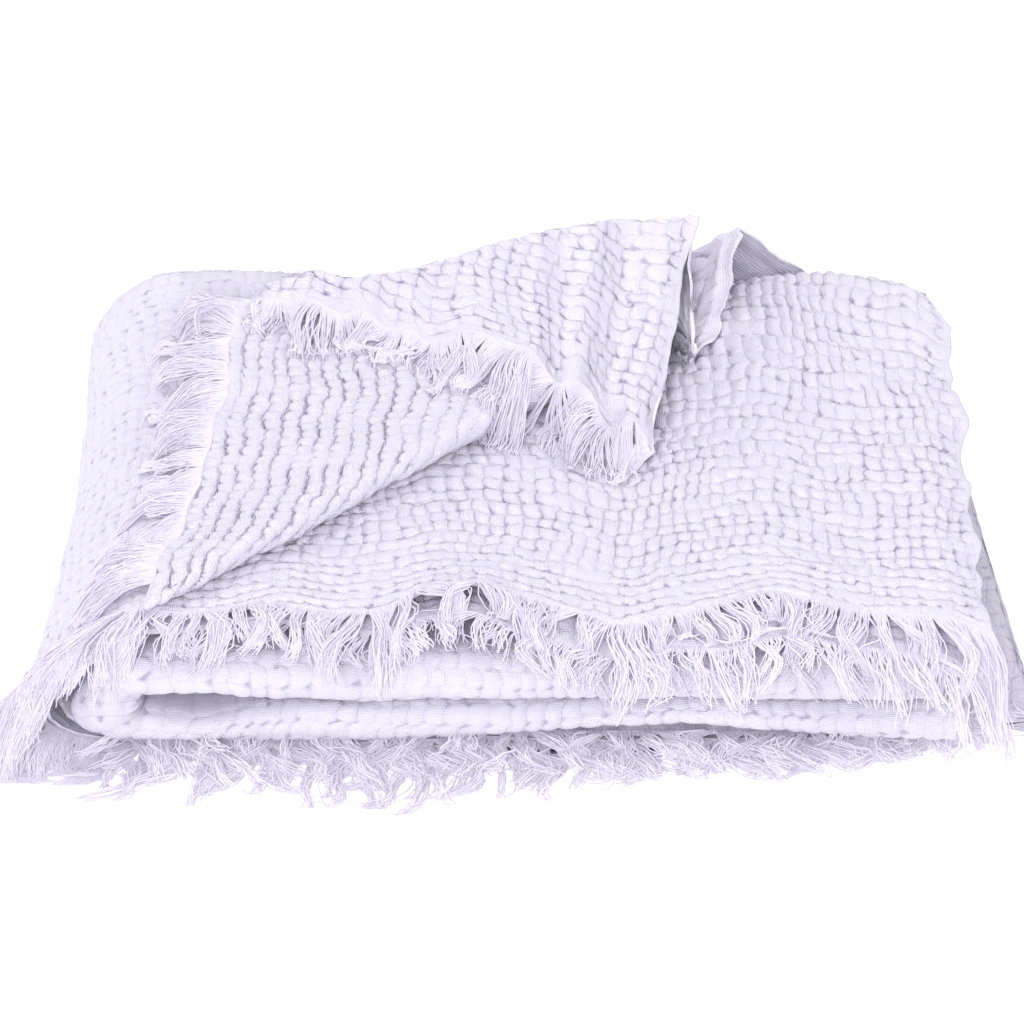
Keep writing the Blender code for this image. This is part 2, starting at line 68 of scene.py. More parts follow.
# each ply's height, right end and front edge, in the top and in the bottom panel
plies = {
    1: {"z": (0.0422, 0.0392), "end": (0.203, 0.205), "front": (-0.154, -0.154)},
    2: {"z": (0.0520, 0.0310), "end": (0.207, 0.205), "front": (-0.154, -0.154)},
    3: {"z": (0.0610, 0.0240), "end": (0.205, 0.207), "front": (-0.154, -0.154)},
    4: {"z": (0.0695, 0.0170), "end": (0.202, 0.207), "front": (-0.154, -0.154)},
    5: {"z": (0.0760, 0.0121), "end": (0.199, 0.222), "front": (-0.122, -0.146)},
    6: {"z": (0.0805, 0.0085), "end": (0.224, 0.222), "front": (-0.166, -0.150)},
    7: {"z": (0.0850, 0.0049), "end": (0.230, 0.249), "front": (-0.147, -0.147)},
    8: {"z": (0.0895, 0.0013), "end": (0.121, 0.240), "front": (-0.150, -0.150)},
}

# lifts of the upper front edge: where, how high, how wide, how far back
edgeLifts = [
    (-0.125, 0.004, 0.030, 0.004),
    (-0.030, 0.013, 0.034, 0.012),
    (0.050, 0.002, 0.020, -0.010),
    (0.125, 0.006, 0.034, 0.010),
]
backSwells = [(-0.165, 0.008, 0.070), (0.160, 0.014, 0.050)]  # where, how high, how wide
ramps = {  # each grows from 0 at its start to 1 a run further on
    "back": (-0.020, 0.140),
    "lift": (-0.070, -0.080),
    "slope": (-0.080, -0.080),
    "left": (0.060, -0.180),
    "lowRight": (0.120, 0.110),
    "lowFront": (-0.050, -0.100),
    "hang": (-0.140, -0.026),
    "rollLow": (0.0125, 0.0045),
    "rollHigh": (0.048, -0.03),
    "rollFront": (-0.10, -0.04),
    "slitFront": (-0.09, -0.04),
}
upperPlies = {
    6: {"hang": 0.004, "endX": 0.2005, "lifts": 0.55},
    7: {"hang": 0.004, "endX": 0.2095, "lifts": 1.0},
}
waves = {  # unevenness of the cloth's own edges: how far, how often in a metre, how wide a border
    "fringed": (0.0040, 0.0030, 30.0, 0.022),
    "selvage": (0.0045, 0.0015, 30.0, 0.022),
    "corner": (0.0055, 0.0050, 40.0, 0.020),
    "flap": (0.0150, 0.0110, 44.0, 0.030),
}
rollLift = {"height": 0.0095, "where": 0.072, "width": 0.085}  # the lower front fold rises there
# the front folds stand open at the left; sharp is how suddenly they part
slit = {"z": 0.0407, "height": 0.0078, "reach": 0.024, "where": -0.164, "width": 0.032, "sharp": 24}

# the turned-back corner, a row for each section across it from the left fold to the selvage
cornerNames = (
    "across", "backX", "foldX", "foldY", "ridgeX", "ridgeY", "ridgeZ", "edgeX", "edgeY", "edgeZ",
)
cornerRows = [
    (0.00, -0.188, -0.188, -0.150, -0.188, -0.150, 0.0895, -0.188, -0.150, 0.0895),
    (0.06, -0.170, -0.161, -0.126, -0.183, -0.124, 0.0945, -0.183, -0.124, 0.0945),
    (0.17, -0.135, -0.111, -0.082, -0.171, -0.076, 0.0945, -0.171, -0.076, 0.0945),
    (0.33, -0.088, -0.027, -0.002, -0.158, 0.010, 0.0960, -0.158, 0.010, 0.0960),
    (0.50, -0.035, 0.053, 0.072, -0.148, 0.106, 0.0985, -0.148, 0.106, 0.0985),
    (0.56, -0.015, 0.062, 0.080, -0.117, 0.116, 0.1010, -0.121, 0.096, 0.1085),
    (0.64, 0.010, 0.070, 0.085, -0.078, 0.113, 0.1015, -0.082, 0.088, 0.1070),
    (0.80, 0.062, 0.080, 0.083, 0.000, 0.145, 0.1090, -0.002, 0.048, 0.1080),
    (0.90, 0.095, 0.085, 0.078, 0.046, 0.148, 0.1170, 0.034, 0.014, 0.1040),
    (1.00, 0.121, 0.090, 0.072, 0.094, 0.146, 0.1165, 0.067, -0.021, 0.0970),
]
cornerShape = {
    "pinch": 0.50,
    "foldRadius": 0.0055,
    "foldRadiusShare": 0.20,
    "ridgeRadius": 0.0060,
    "ridgeRadiusShare": 0.25,
    "underRise": 1.5,
    "overFall": 0.8,
}


def mix(a, b, share):
    return a + (b - a) * share


def around(a, b, angle):
    # from a to b by way of a half circle, seen from the side
    return (a + b) / 2 + (a - b) / 2 * math.cos(angle)


def clamped(value):
    return max(0.0, min(1.0, value))


def smooth(value):
    value = clamped(value)
    return value * value * (3 - 2 * value)


def ramped(value, name):
    start, run = ramps[name]
    return (value - start) / run


def bump(x, middle, width):
    return math.exp(-(((x - middle) / width) ** 2))


def linked(name, data):
    made = bpy.data.objects.new(name, data)
    bpy.context.scene.collection.objects.link(made)
    return made


def sectionAt(across):
    # a smooth reading of the corner's table, as a dictionary
    k = max(i for i, row in enumerate(cornerRows[:-1]) if row[0] <= across)
    here, there = cornerRows[k], cornerRows[k + 1]
    before, after = cornerRows[max(k - 1, 0)], cornerRows[min(k + 2, len(cornerRows) - 1)]
    run = there[0] - here[0]
    t = (across - here[0]) / run
    found = {}
    for i, name in enumerate(cornerNames):
        m = (there[i] - before[i]) / (there[0] - before[0]) * run
        n = (after[i] - here[i]) / (after[0] - here[0]) * run
        found[name] = (
            (2 * t**3 - 3 * t**2 + 1) * here[i]
            + (t**3 - 2 * t**2 + t) * m
            + (3 * t**2 - 2 * t**3) * there[i]
            + (t**3 - t**2) * n
        )
    return found


def shaped(point, ply=0, share=1.0):
    # lifts the upper front edge, lets the edges hang, and crowns the pile
    x, y, z = point
    if z < pile["lowEdgeZ"]:
        y += pile["lowSetBack"] * clamped(ramped(x, "lowRight")) ** 2 * clamped(ramped(y, "lowFront"))
    if ply in upperPlies and z > plies[5]["z"][0]:
        upper = upperPlies[ply]
        if ply == 6:
            y += pile["underSetBack"] * clamped(ramped(x, "left")) * clamped(ramped(y, "lift"))
        front = upper["lifts"] * clamped(ramped(y, "lift")) ** 2
        for where, height, width, back in edgeLifts:
            z += front * height * bump(x, where, width)
            y += front * back * bump(x, where, width)
        z -= upper["hang"] * max(0.0, ramped(y, "hang")) ** 2
        front = clamped(ramped(y, "slope")) ** 2
        past = max(0.0, x - upper["endX"])
        behind = clamped(ramped(y, "back")) ** 2
        slope = pile["endSlope"] + pile["endCornerSlope"] * front + pile["endBackSlope"] * behind
        z -= share * past * slope
    middle = 1 - (x / pile["crownReach"]) ** 2
    middle *= 1 - ((y - pile["crownY"]) / pile["crownReach"]) ** 2
    back = clamped(ramped(y, "back")) * z / plies[8]["z"][0]
    rolled = smooth(ramped(z, "rollLow")) * clamped(ramped(z, "rollHigh")) * smooth(ramped(y, "rollFront"))
    z += rollLift["height"] * bump(x, rollLift["where"], rollLift["width"]) * rolled
    apart = (z - slit["z"]) / slit["reach"]
    if ply not in upperPlies and abs(apart) < 1:
        opened = slit["height"] * bump(x, slit["where"], slit["width"]) * smooth(ramped(y, "slitFront"))
        z += opened * math.copysign(1, apart) * (1 - abs(apart)) ** 2 * smooth(abs(apart) * slit["sharp"])
    z += (z - plies[8]["z"][1]) * pile["crown"] * max(0.0, middle)
    z += back**2 * sum(height * bump(x, where, width) for where, height, width in backSwells)
    return rumpled(Vector((x, y, z)))


rumple = {"scale": 26.0, "sideways": 0.0012, "up": 0.0013, "settle": 0.03}


def rumpled(point):
    # slow unevenness of the whole pile, none at what it lies on
    x, y, z = point * rumple["scale"]
    settled = clamped(point.z / rumple["settle"])
    point.x += rumple["sideways"] * noise.noise((x, y, z + 3.1)) * settled
    point.y += rumple["sideways"] * noise.noise((x + 9.7, y, z)) * settled
    point.z += rumple["up"] * noise.noise((x, y + 5.3, 0.4)) * settled
    return point


def flatPlace(row, part, across):
    # a row is (first ply, second ply, turn angle, 0 in front to 1 at the back)
    a, b, angle, along = plies[row[0]], plies[row[1]], row[2], row[3]
    topZ, lowZ = (around(a["z"][i], b["z"][i], angle) for i in (0, 1))
    topHalf, lowHalf = (abs(a["z"][i] - b["z"][i]) / 2 for i in (0, 1))
    sideHalf = (topZ - lowZ) / 2
    lowX = pile["sideFoldX"] - pile["sideFoldLean"] * sideHalf
    topFront, lowFront = a["front"]
    if part == "side":
        x = around(pile["sideFoldX"], lowX, across) - pile["sideFoldShare"] * sideHalf * math.sin(across)
        leaning = pile["skirt"] * mix(pile["skirtBack"], 1, (1 - along) ** pile["skirtFade"])
        x -= leaning * sideHalf * math.sin(across) * (1 - math.cos(across)) / 2
        x -= pile["shoulder"] * along**3 * sideHalf * math.sin(across) * (1 + math.cos(across)) / 2
        z, half = around(topZ, lowZ, across), around(topHalf, lowHalf, across)
        front = around(topFront, lowFront, across)
    elif part == "top":
        turned = (1 - math.cos(angle)) / 2
        if row[0] == 8:
            turned **= pile["coverTurn"]
        x = mix(pile["sideFoldX"], mix(a["end"][0], b["end"][0], turned), across)
        z, half, front = topZ, topHalf, topFront
    else:
        x = mix(lowX, around(a["end"][1], b["end"][1], angle), across)
        x += pile["flare"] * across**4 * (0.5 - along)
        z, half, front = lowZ, lowHalf, lowFront
    y = mix(front, pile["backY"], along)
    y += half * math.sin(angle) * (1 if along > 0.5 else -1)
    return Vector((x, y, z))


def curlAt(row, across):
    # how far the selvage of ply 8 stands up at the back
    back = clamped(2 * row[3] - 1) * (1 + math.cos(row[2])) / 2
    return pile["curlHeight"] * clamped(4 * across - 3) * back


def sheetPlace(row, part, across):
    place = flatPlace(row, part, across)
    if row[0] == 8 and part == "top":
        if row[1] == 8:
            section = sectionAt(across)
            place.x = mix(section["foldX"], section["backX"], row[3])
            place.y = mix(section["foldY"], pile["backY"], row[3])
        place.z += curlAt(row, across)
    if row[0] == row[1]:
        if row[0] > 5:
            waved(place, row, part, across)
        return shaped(place, row[0])
    upper, turned = max(row[:2]), (1 + math.cos(row[2])) / 2
    if part != "top" or upper not in upperPlies:
        return shaped(place)
    return shaped(place, upper, turned if upper == row[0] else 1 - turned)


def waved(place, row, part, across):
    # makes the edges of the sheet itself uneven
    x, y, z = place
    ply = row[0]
    sideways, up, often, border = waves["fringed"]
    near = clamped(1 - row[3] * (pile["backY"] - pile["creaseY"]) / border) ** 2
    if ply == 8 and part == "top":
        near = 0
    settled = clamped(z / 0.04)
    place.y += near * sideways * noise.noise((x * often, z * 20, ply * 3.3))
    place.z += near * up * noise.noise((x * often * 1.3, ply * 5.1, 2.2)) * settled
    if part == "top" and ply > 6:
        sideways, up, often, border = waves["selvage"]
        near = clamped(1 - (1 - across) * pile["topWidth"] / border) ** 2
        place.x += near * sideways * noise.noise((y * often, ply * 2.9, 5.5))
        place.z += near * up * noise.noise((y * often, ply * 7.9, 9.5))


def hemPlace(outerRow, innerRow, angle):
    # the fold at the right that joins the two halves of the sheet
    outer, inner = flatPlace(outerRow, "low", 1), flatPlace(innerRow, "low", 1)
    point = outer.lerp(inner, (1 - math.cos(angle)) / 2)
    point.x += (outer - inner).length / 2 * math.sin(angle)
    return shaped(point)


def cornerPoints(across, steps):
    # the turned-back corner at one section: fold, underside, ridge, upper side
    section = sectionAt(across)
    fold, ridge, edge = (
        Vector((section[f"{name}X"], section[f"{name}Y"], 0)) for name in ("fold", "ridge", "edge")
    )
    base, edgeZ, ridgeZ = plies[8]["z"][0], section["edgeZ"], section["ridgeZ"]
    if across <= cornerShape["pinch"]:
        ridge, ridgeZ = edge.copy(), edgeZ
    run = ridge - fold
    inward = run.normalized() if run.length else Vector((0, 0, 0))
    radius = min(cornerShape["foldRadius"], run.length * cornerShape["foldRadiusShare"])
    points = []
    turn, under, overTurn, over = steps
    for i in range(turn):
        angle = math.pi * i / turn
        rise = base + radius * (1 - math.cos(angle))
        points.append(fold - inward * radius * math.sin(angle) + Vector((0, 0, rise)))
    upper = base + 2 * radius
    for i in range(under + (0 if over else 1)):
        share = i / under
        z = mix(upper, ridgeZ, share ** cornerShape["underRise"])
        points.append(fold.lerp(ridge, share) + Vector((0, 0, z)))
    if over:
        radius = min(cornerShape["ridgeRadius"], (edge - ridge).length * cornerShape["ridgeRadiusShare"])
        for i in range(overTurn):
            angle = math.pi * i / overTurn
            rise = ridgeZ + radius * (1 - math.cos(angle))
            points.append(ridge + inward * radius * math.sin(angle) + Vector((0, 0, rise)))
        for i in range(over + 1):
            share = i / over
            z = mix(ridgeZ + 2 * radius, edgeZ, share ** cornerShape["overFall"])
            points.append(ridge.lerp(edge, share) + Vector((0, 0, z)))
    wave = waves["flap" if over or across > cornerShape["pinch"] else "corner"]
    finish = (edge - (ridge if over else fold)).normalized() if across else Vector((0, 0, 0))
    end = points[-1].copy()
    for point in points[-(over or under) :]:
        near = clamped(1 - (point - end).length / wave[3]) ** 2 * clamped(across * 8)
        spot = (across * wave[2] * 0.5, 3.7, 1.1)
        lift = (across * wave[2] * 0.6, 8.2, 4.9)
        point += finish * near * wave[0] * noise.noise(spot)
        point.z += near * wave[1] * noise.noise(lift)
    return [shaped(point) for point in points]


# Crinkle: the gauze is joined in wavy rows and short cross lines, and puffs up between them.
crinkle = {
    "pitch": 0.0105,  # from row to row
    "width": 0.0084,  # of a cell along its row
    "sink": 0.0012,  # how far a crease lies below the sheet's middle
    "puff": 0.0027,  # how far a full puff stands over its creases
    "round": 2.5,  # 2 for a round puff, more for a flatter top
    "pit": 0.8,  # how much deeper it is where two creases cross, in some places
    "pitReach": 0.30,
    "rowCrease": 1.0,  # how deep each kind of crease is, as a share
    "cellCrease": 0.90,
    "drift": 0.8,  # how far the rows and cells stray, slowly and at every crease
    "cellDrift": 1.2,
    "wiggle": 0.32,
    "bulge": 0.28,  # how far each puff hangs over the crease before it
    "zigzag": 0.16,  # how far the short creases bend in every row
    "stagger": 0.15,  # how far a row's crease jumps from cell to cell
    "ribbed": 0.0,  # rows run on unbroken up to here from the fringe
    "crowd": 0.0,  # how many more rows are crowded in beside the fringe
    "crowdReach": 0.05,
    "calm": None,  # a plainer stretch: from and to, counted like the rows
    "band": 0.006,  # plain weave beside a fringe
    "tabs": 1.2,  # how much wider it is in places
    "selvage": 0.005,
    "roll": 0.45,  # how thick the selvage rolls up
    "edgePuff": 0.0,  # how much more the cloth puffs towards its selvage, as a share
    "edgeReach": 0.09,
    "rim": 0.0022,  # the sheet's thickness at its edges
    "lowest": 0.0004,  # the cloth starts this far above the floor
    "plainHeight": 0.42,  # of plain weave, as a share of a puff
}
# how often in a metre each kind of unevenness changes
pace = {
    "slow": 9, "quick": 30, "wide": 12, "cell": 20, "rowLine": 75, "cellLine": 100,
    "rowFade": 60, "cellFade": 70, "skin": 160, "tabs": 45,
}
# how strong each kind is
strength = {
    "quick": 0.28, "cell": 0.8, "jump": 0.22, "cellLine": 0.22, "size": 0.20, "skin": 0.14,
    "calmDrift": 0.03, "calmRows": 0.8, "calmCells": 0.85, "ribs": 0.35, "knot": 0.9, "tabs": 2.2,
}
usual = {"size": 0.86, "rowFade": 0.80, "cellFade": 0.94, "knot": 0.25}  # what each varies around


ruffle = {"border": 0.016, "often": 42.0, "sideways": 0.0058, "up": 0.0042}  # of the selvages


def puffed(distance):
    # a round pillow: 0 in the crease, 1 half a cell away from it
    return 1 - abs(1 - 2 * distance) ** crinkle["round"]


def wiggle(along, often, lines, seed):
    # every crease has its own waviness, and between two creases it changes evenly
    first = math.floor(lines)
    low = noise.noise((along * often, first * 7.31, seed))
    high = noise.noise((along * often, (first + 1) * 7.31, seed))
    return mix(low, high, lines - first)


def noiseAt(s, t, kind, third):
    return noise.noise((s * pace[kind], t * pace[kind], third))


def crinkleAt(s, t, style, seed):
    # the plain numbers in here only keep one noise from repeating another
    slow = noise.noise((s * pace["slow"] + seed, t * pace["slow"], seed))
    quick = noise.noise((s * pace["quick"], t * pace["quick"] + seed, 1.7))
    row = t / style["pitch"] + style["crowd"] * (1 - math.exp(-t / style["crowdReach"]))
    row += style["drift"] * (slow + strength["quick"] * quick)
    row += style["wiggle"] * wiggle(s, pace["rowLine"], row, seed + 2.6)
    line = math.floor(row)
    cell = s / style["width"] + style["cellDrift"] * noiseAt(s, t, "wide", 8.1 + seed)
    strayed = strength["cell"] * noise.noise((s * pace["cell"] + seed, line * 0.27, 4.2))
    cell += strayed + strength["jump"] * noise.cell((line + 0.5, seed, 0.5))
    cell += strength["cellLine"] * wiggle(t, pace["cellLine"], cell, seed + 5.9)
    cell += style["zigzag"] * (puffed(abs(row - round(row))) - 0.5)
    size = usual["size"] + strength["size"] * noise.cell((math.floor(cell) + 0.5, line + 0.5, seed))
    rowFade = clamped(usual["rowFade"] + noiseAt(s, t, "rowFade", 6.9 + seed))
    cellFade = clamped(usual["cellFade"] + noise.noise((s * pace["cellFade"], line * 0.7, 2.9 + seed)))
    row += style["bulge"] * cellFade * (puffed(abs(cell - round(cell))) - 0.5)
    row += style["stagger"] * noise.cell((math.floor(cell) + 0.5, round(row) + 0.5, seed + 3))
    if style["ribbed"]:
        # the short creases are weakest beside the fringe
        cellFade *= mix(strength["ribs"], 1, smooth(t / style["ribbed"] - 0.5))
    if style["calm"]:
        first, last = style["calm"]
        calm = smooth((t - first + strength["calmDrift"] * slow) / (last - first))
        rowFade *= 1 - strength["calmRows"] * calm
        cellFade *= 1 - strength["calmCells"] * calm
    rowFade *= style["rowCrease"]
    cellFade *= style["cellCrease"]
    rowFar, cellFar = abs(row - round(row)), abs(cell - round(cell))
    height = 1 - rowFade * (1 - puffed(rowFar))
    height *= 1 - cellFade * (1 - puffed(cellFar))
    pit = clamped(1 - rowFar / style["pitReach"]) * clamped(1 - cellFar / style["pitReach"])
    chosen = noise.cell((round(cell) + 0.5, round(row) + 0.5, seed + 7))
    knot = clamped(strength["knot"] * chosen + usual["knot"])
    height -= style["pit"] * pit * knot * rowFade * cellFade
    height = height * size + strength["skin"] * noiseAt(s, t, "skin", seed)
    return (cell, row, height, rowFade, cellFade, knot)


def styleOf(**changes):
    return {**crinkle, **changes}


def lengths(points):
    found = [0.0]
    for a, b in zip(points, points[1:]):
        found.append(found[-1] + (b - a).length)
    return found


def facingOf(points, i, j):
    before, after = points[max(i - 1, 0)][j], points[min(i + 1, len(points) - 1)][j]
    column = points[i]
    along = column[min(j + 1, len(column) - 1)] - column[max(j - 1, 0)]
    facing = (after - before).cross(along)
    return facing.normalized() if facing.length > 1e-12 else Vector((0, 0, 1))


def addBlock(bm, block):
    # one grid of the cloth, puffed up to the side that shows
    points, style = block["points"], block["style"]
    layers = bm.verts.layers.float_vector
    crinkled, creased, woven = (
        layers.get(name) or layers.new(name) for name in ("crinkle", "creased", "woven")
    )
    nx, ny = len(points) - 1, len(points[0]) - 1
    made = bmesh.ops.create_grid(bm, x_segments=nx, y_segments=ny, size=1)
    sRow = block.get("sRow", ny // 2)
    s = lengths([column[sRow] for column in points])
    t = [lengths(column) for column in points]
    seenI, seenJ, seenFrom = block["seen"]
    side = 1 if facingOf(points, seenI, seenJ).dot(Vector(seenFrom)) > 0 else -1
    for vert in made["verts"]:
        i, j = round((vert.co.x + 1) / 2 * nx), round((vert.co.y + 1) / 2 * ny)
        point = points[i][j]
        across, down, plain = s[i], abs(t[i][j] - t[i][block["zero"]]), 0.0
        if block.get("fan"):
            down *= block["fan"] / max(t[i][-1], 0.01)
            plain = 1 - smooth(t[i][-1] / block["fan"] * 2.2)
        cell, row, height, rowFade, cellFade, knot = crinkleAt(across, down, style, block["seed"])
        facing = facingOf(points, i, j)
        if i in block["fringed"]:
            widened = noise.noise((across * pace["tabs"], block["seed"], 3.3))
            wider = 1 + style["tabs"] * clamped(strength["tabs"] * widened)
            band = abs(t[i][j] - t[i][block["fringeRow"]]) / (style["band"] * wider)
            plain = max(plain, 1 - smooth(band - 0.25))
        if block.get("selvage") is not None:
            far = abs(s[i] - s[block["selvage"]])
            inner = points[max(i - 1, 0) if block["selvage"] else min(i + 1, nx)][j]
            near = clamped(1 - far / ruffle["border"]) ** 2 * smooth(t[i][j] / ruffle["border"])
            strayed = noise.noise((down * ruffle["often"], block["seed"], 7.7))
            strayed += 0.22 * noise.noise((down * ruffle["often"] * 2.7, block["seed"], 1.1))
            lifted = noise.noise((down * ruffle["often"] * 1.3, block["seed"], 4.4))
            point = point + (point - inner).normalized() * near * ruffle["sideways"] * strayed
            point = point + facing * side * near * ruffle["up"] * lifted
            far /= style["selvage"]
            plain = max(plain, 0.9 * (1 - smooth(far - 0.3)))
            height += style["roll"] * bump(far, 0.6, 0.4)
        height = mix(height, crinkle["plainHeight"], plain)
        if style["edgePuff"]:
            near = clamped(1 - abs(s[i] - s[block["selvage"]]) / style["edgeReach"])
            height *= 1 + style["edgePuff"] * near
        out = side * (style["puff"] * height - style["sink"])
        vert.co = point + facing * out
        vert.co.z = max(vert.co.z, crinkle["lowest"])
        vert[crinkled] = (cell, row, plain)
        vert[creased] = (cellFade * (1 - plain), rowFade * (1 - plain), knot * (1 - plain))
        vert[woven] = (across, down, 0)
    if side < 0:
        faces = {face for vert in made["verts"] for face in vert.link_faces}
        bmesh.ops.reverse_faces(bm, faces=list(faces))


def clothPiece(name, blocks, material):
    bm = bmesh.new()
    for block in blocks:
        addBlock(bm, block)
    mesh = bpy.data.meshes.new(name)
    bm.to_mesh(mesh)
    bm.free()
    mesh.shade_smooth()
    mesh.materials.append(material)
    piece = linked(name, mesh)
    edge = piece.modifiers.new("edgeThickness", "SOLIDIFY")
    edge.thickness = crinkle["rim"]
    edge.offset = -1
    edge.use_even_offset = False
    edge.use_rim = True
    edge.use_rim_only = True
    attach(piece, "root")
    print(name, "has", len(mesh.polygons), "faces")
    return piece


def plyRows(ply, steps, start=0.0, end=1.0, ease=1.0):
    return [(ply, ply, 0.0, mix(start, end, (i / steps) ** ease)) for i in range(steps + 1)]


def turnRows(first, second, steps, along):
    return [(first, second, math.pi * i / steps, along) for i in range(steps + 1)]


def topColumns(steps, start=0.0, end=1.0):
    return [("top", mix(start, end, i / steps)) for i in range(steps + 1)]


def sideColumns(steps, start=0.0, end=math.pi):
    return [("side", mix(start, end, i / steps)) for i in range(steps + 1)]


def lowColumns(steps, start=0.0, end=1.0):
    return [("low", mix(start, end, i / steps)) for i in range(steps + 1)]


def joined(first, *others):
    # each further stretch starts where the one before it ends, so its first row is left out
    rows = list(first)
    for other in others:
        rows += other[1:]
    return rows


def wholeWay(top, side, low):
    # from the top panel's right end round the left fold to the bottom panel's
    return topColumns(top, 1, 0) + sideColumns(side)[1:-1] + lowColumns(low)


def sheetBlock(rows, columns, zero, seed, seen, fringed=(), fringeRow=0, ends=None, **changes):
    return {
        "points": [[sheetPlace(row, part, across) for row in rows] for part, across in columns],
        "zero": zero,
        "seed": seed,
        "seen": seen,
        "fringed": fringed,
        "fringeRow": fringeRow,
        "selvage": ends,
        "style": styleOf(**changes),
    }


def cornerBlock(start, end, sections, steps, seed, fan=None, **changes):
    columns = [cornerPoints(mix(start, end, i / sections), steps) for i in range(sections + 1)]
    last = len(columns[0]) - 1
    return {
        "points": columns,
        "zero": last,
        "sRow": last,
        "seed": seed,
        "seen": (sections // 2, last - 20, (0, 0, 1)),
        "fan": fan,
        "fringed": range(sections + 1),
        "fringeRow": last,
        "selvage": sections if end == 1 else None,
        "style": styleOf(**changes),
    }


# the steps of each piece's grid
outer = {
    "rows": 185, "turnRows": 30, "curlColumns": 75, "hiddenColumns": 15, "columns": 70, "sideColumns": 96,
    "curlEnd": 0.72, "hiddenEnd": 0.25, "fringedColumns": 3,
}
cover = {"rows": 235, "turnRows": 20, "columns": 350}
corner = {
    "sections": 215, "foldRows": 8, "underRows": 150, "hiddenRows": 26, "ridgeRows": 8, "overRows": 125,
}
folds = {"turnRows": 34, "plyRows": 5, "columns": 290, "sideColumns": 44, "lowColumns": 260, "depth": 0.16}
# the plies that hardly show have coarser ones
deepPlies = {"plies": (1, 4), "rows": 6, "columns": (30, 16, 30), "start": 0.15}
basePly = {"rows": 14, "turnRows": 24, "columns": 150}
fifthPly = {"rows": 16, "turnRows": 3, "columns": (50, 12, 100)}
seventhPly = {"rows": 14, "turnRows": 8, "sideColumns": 24, "lowColumns": 80}
restPlies = {
    "rows": 5, "turnRows": 6, "edgeTurnRows": 4, "backRows": 12, "frontRows": 18, "front": 0.1,
    "topColumns": 190, "sideColumns": 12, "lowColumns": 40,
}
hemFold = {"rows": 40, "turnRows": 8, "plyRows": 5, "edgeTurnRows": 4, "edgeRows": 12, "steps": 6}
above, below, before = (0, 0, 1), (0, 0, -1), (0, -1, 0)


def makeOuter(material):
    rows = joined(plyRows(8, outer["rows"]), turnRows(8, 1, outer["turnRows"], 1))
    curlEnd, hiddenEnd = outer["curlEnd"], outer["hiddenEnd"]
    columns = topColumns(outer["curlColumns"], 1, curlEnd)[:-1]
    columns += topColumns(outer["hiddenColumns"], curlEnd, hiddenEnd)[:-1]
    columns += topColumns(outer["columns"], hiddenEnd, 0)
    fringeStart = len(columns) - outer["fringedColumns"]
    columns += sideColumns(outer["sideColumns"])[1:]
    block = sheetBlock(
        rows, columns, zero=outer["rows"], seed=1.3, seen=(60, 60, above), ends=0,
        fringed=range(fringeStart, len(columns)), width=0.0088, pitch=0.0090, puff=0.0020, rowCrease=0.5,
        cellCrease=0.46, pit=0.3, roll=1.3, selvage=0.0065, edgePuff=0.9,
    )
    return clothPiece("throw_outer", [block], material)


def makeCover(material):
    rows = joined(plyRows(7, cover["rows"], ease=1.1), turnRows(7, 2, cover["turnRows"], 1))
    columns = topColumns(cover["columns"])
    block = sheetBlock(
        rows, columns, zero=0, seed=4.7, seen=(60, 60, above), fringed=range(len(columns)),
        ends=len(columns) - 1, pitch=0.0130, crowd=5.2, crowdReach=0.085, width=0.0080, ribbed=0.04,
        wiggle=0.30, puff=0.0029, band=0.0025, tabs=2.6,
    )
    return clothPiece("throw_cover", [block], material)


def makeCorner(material):
    pinch = cornerShape["pinch"]
    under = cornerBlock(
        0, pinch, corner["sections"], (corner["foldRows"], corner["underRows"], 0, 0), 7.9,
        pitch=0.0092, cellCrease=0.34, width=0.0078, drift=0.5, wiggle=0.26, bulge=0.22, calm=(0.08, 0.18),
        puff=0.0032, pit=1.1, stagger=0.06, rowCrease=1.35, band=0.0015,
    )
    steps = (corner["foldRows"], corner["hiddenRows"], corner["ridgeRows"], corner["overRows"])
    over = cornerBlock(pinch, 1, corner["sections"], steps, 2.2, fan=0.17, pitch=0.0068,
                       width=0.0115, tabs=2.4, puff=0.0025, roll=0.9, selvage=0.006)
    return clothPiece("throw_corner", [under, over], material)


def hemBlock():
    # the fold at the right, between the two halves of the sheet
    plain, turn, edgeTurn = hemFold["plyRows"], hemFold["turnRows"], hemFold["edgeTurnRows"]
    halves = [
        joined(
            plyRows(first, hemFold["rows"]), turnRows(first, second, turn, 1), plyRows(second, plain, 1, 0),
            turnRows(second, third, turn, 0), plyRows(third, plain), turnRows(third, last, edgeTurn, 1),
            plyRows(last, hemFold["edgeRows"], 1, 0),
        )
        for first, second, third, last in ((8, 1, 4, 5), (7, 2, 3, 6))
    ]
    angles = [math.pi * i / hemFold["steps"] for i in range(hemFold["steps"] + 1)]
    return {
        "points": [[hemPlace(a, b, angle) for a, b in zip(*halves)] for angle in angles],
        "zero": 0,
        "seed": 9.1,
        "seen": (3, 20, (1, 0, 0)),
        "fringed": range(len(angles)),
        "fringeRow": 0,
        "style": styleOf(puff=0.0018),
    }


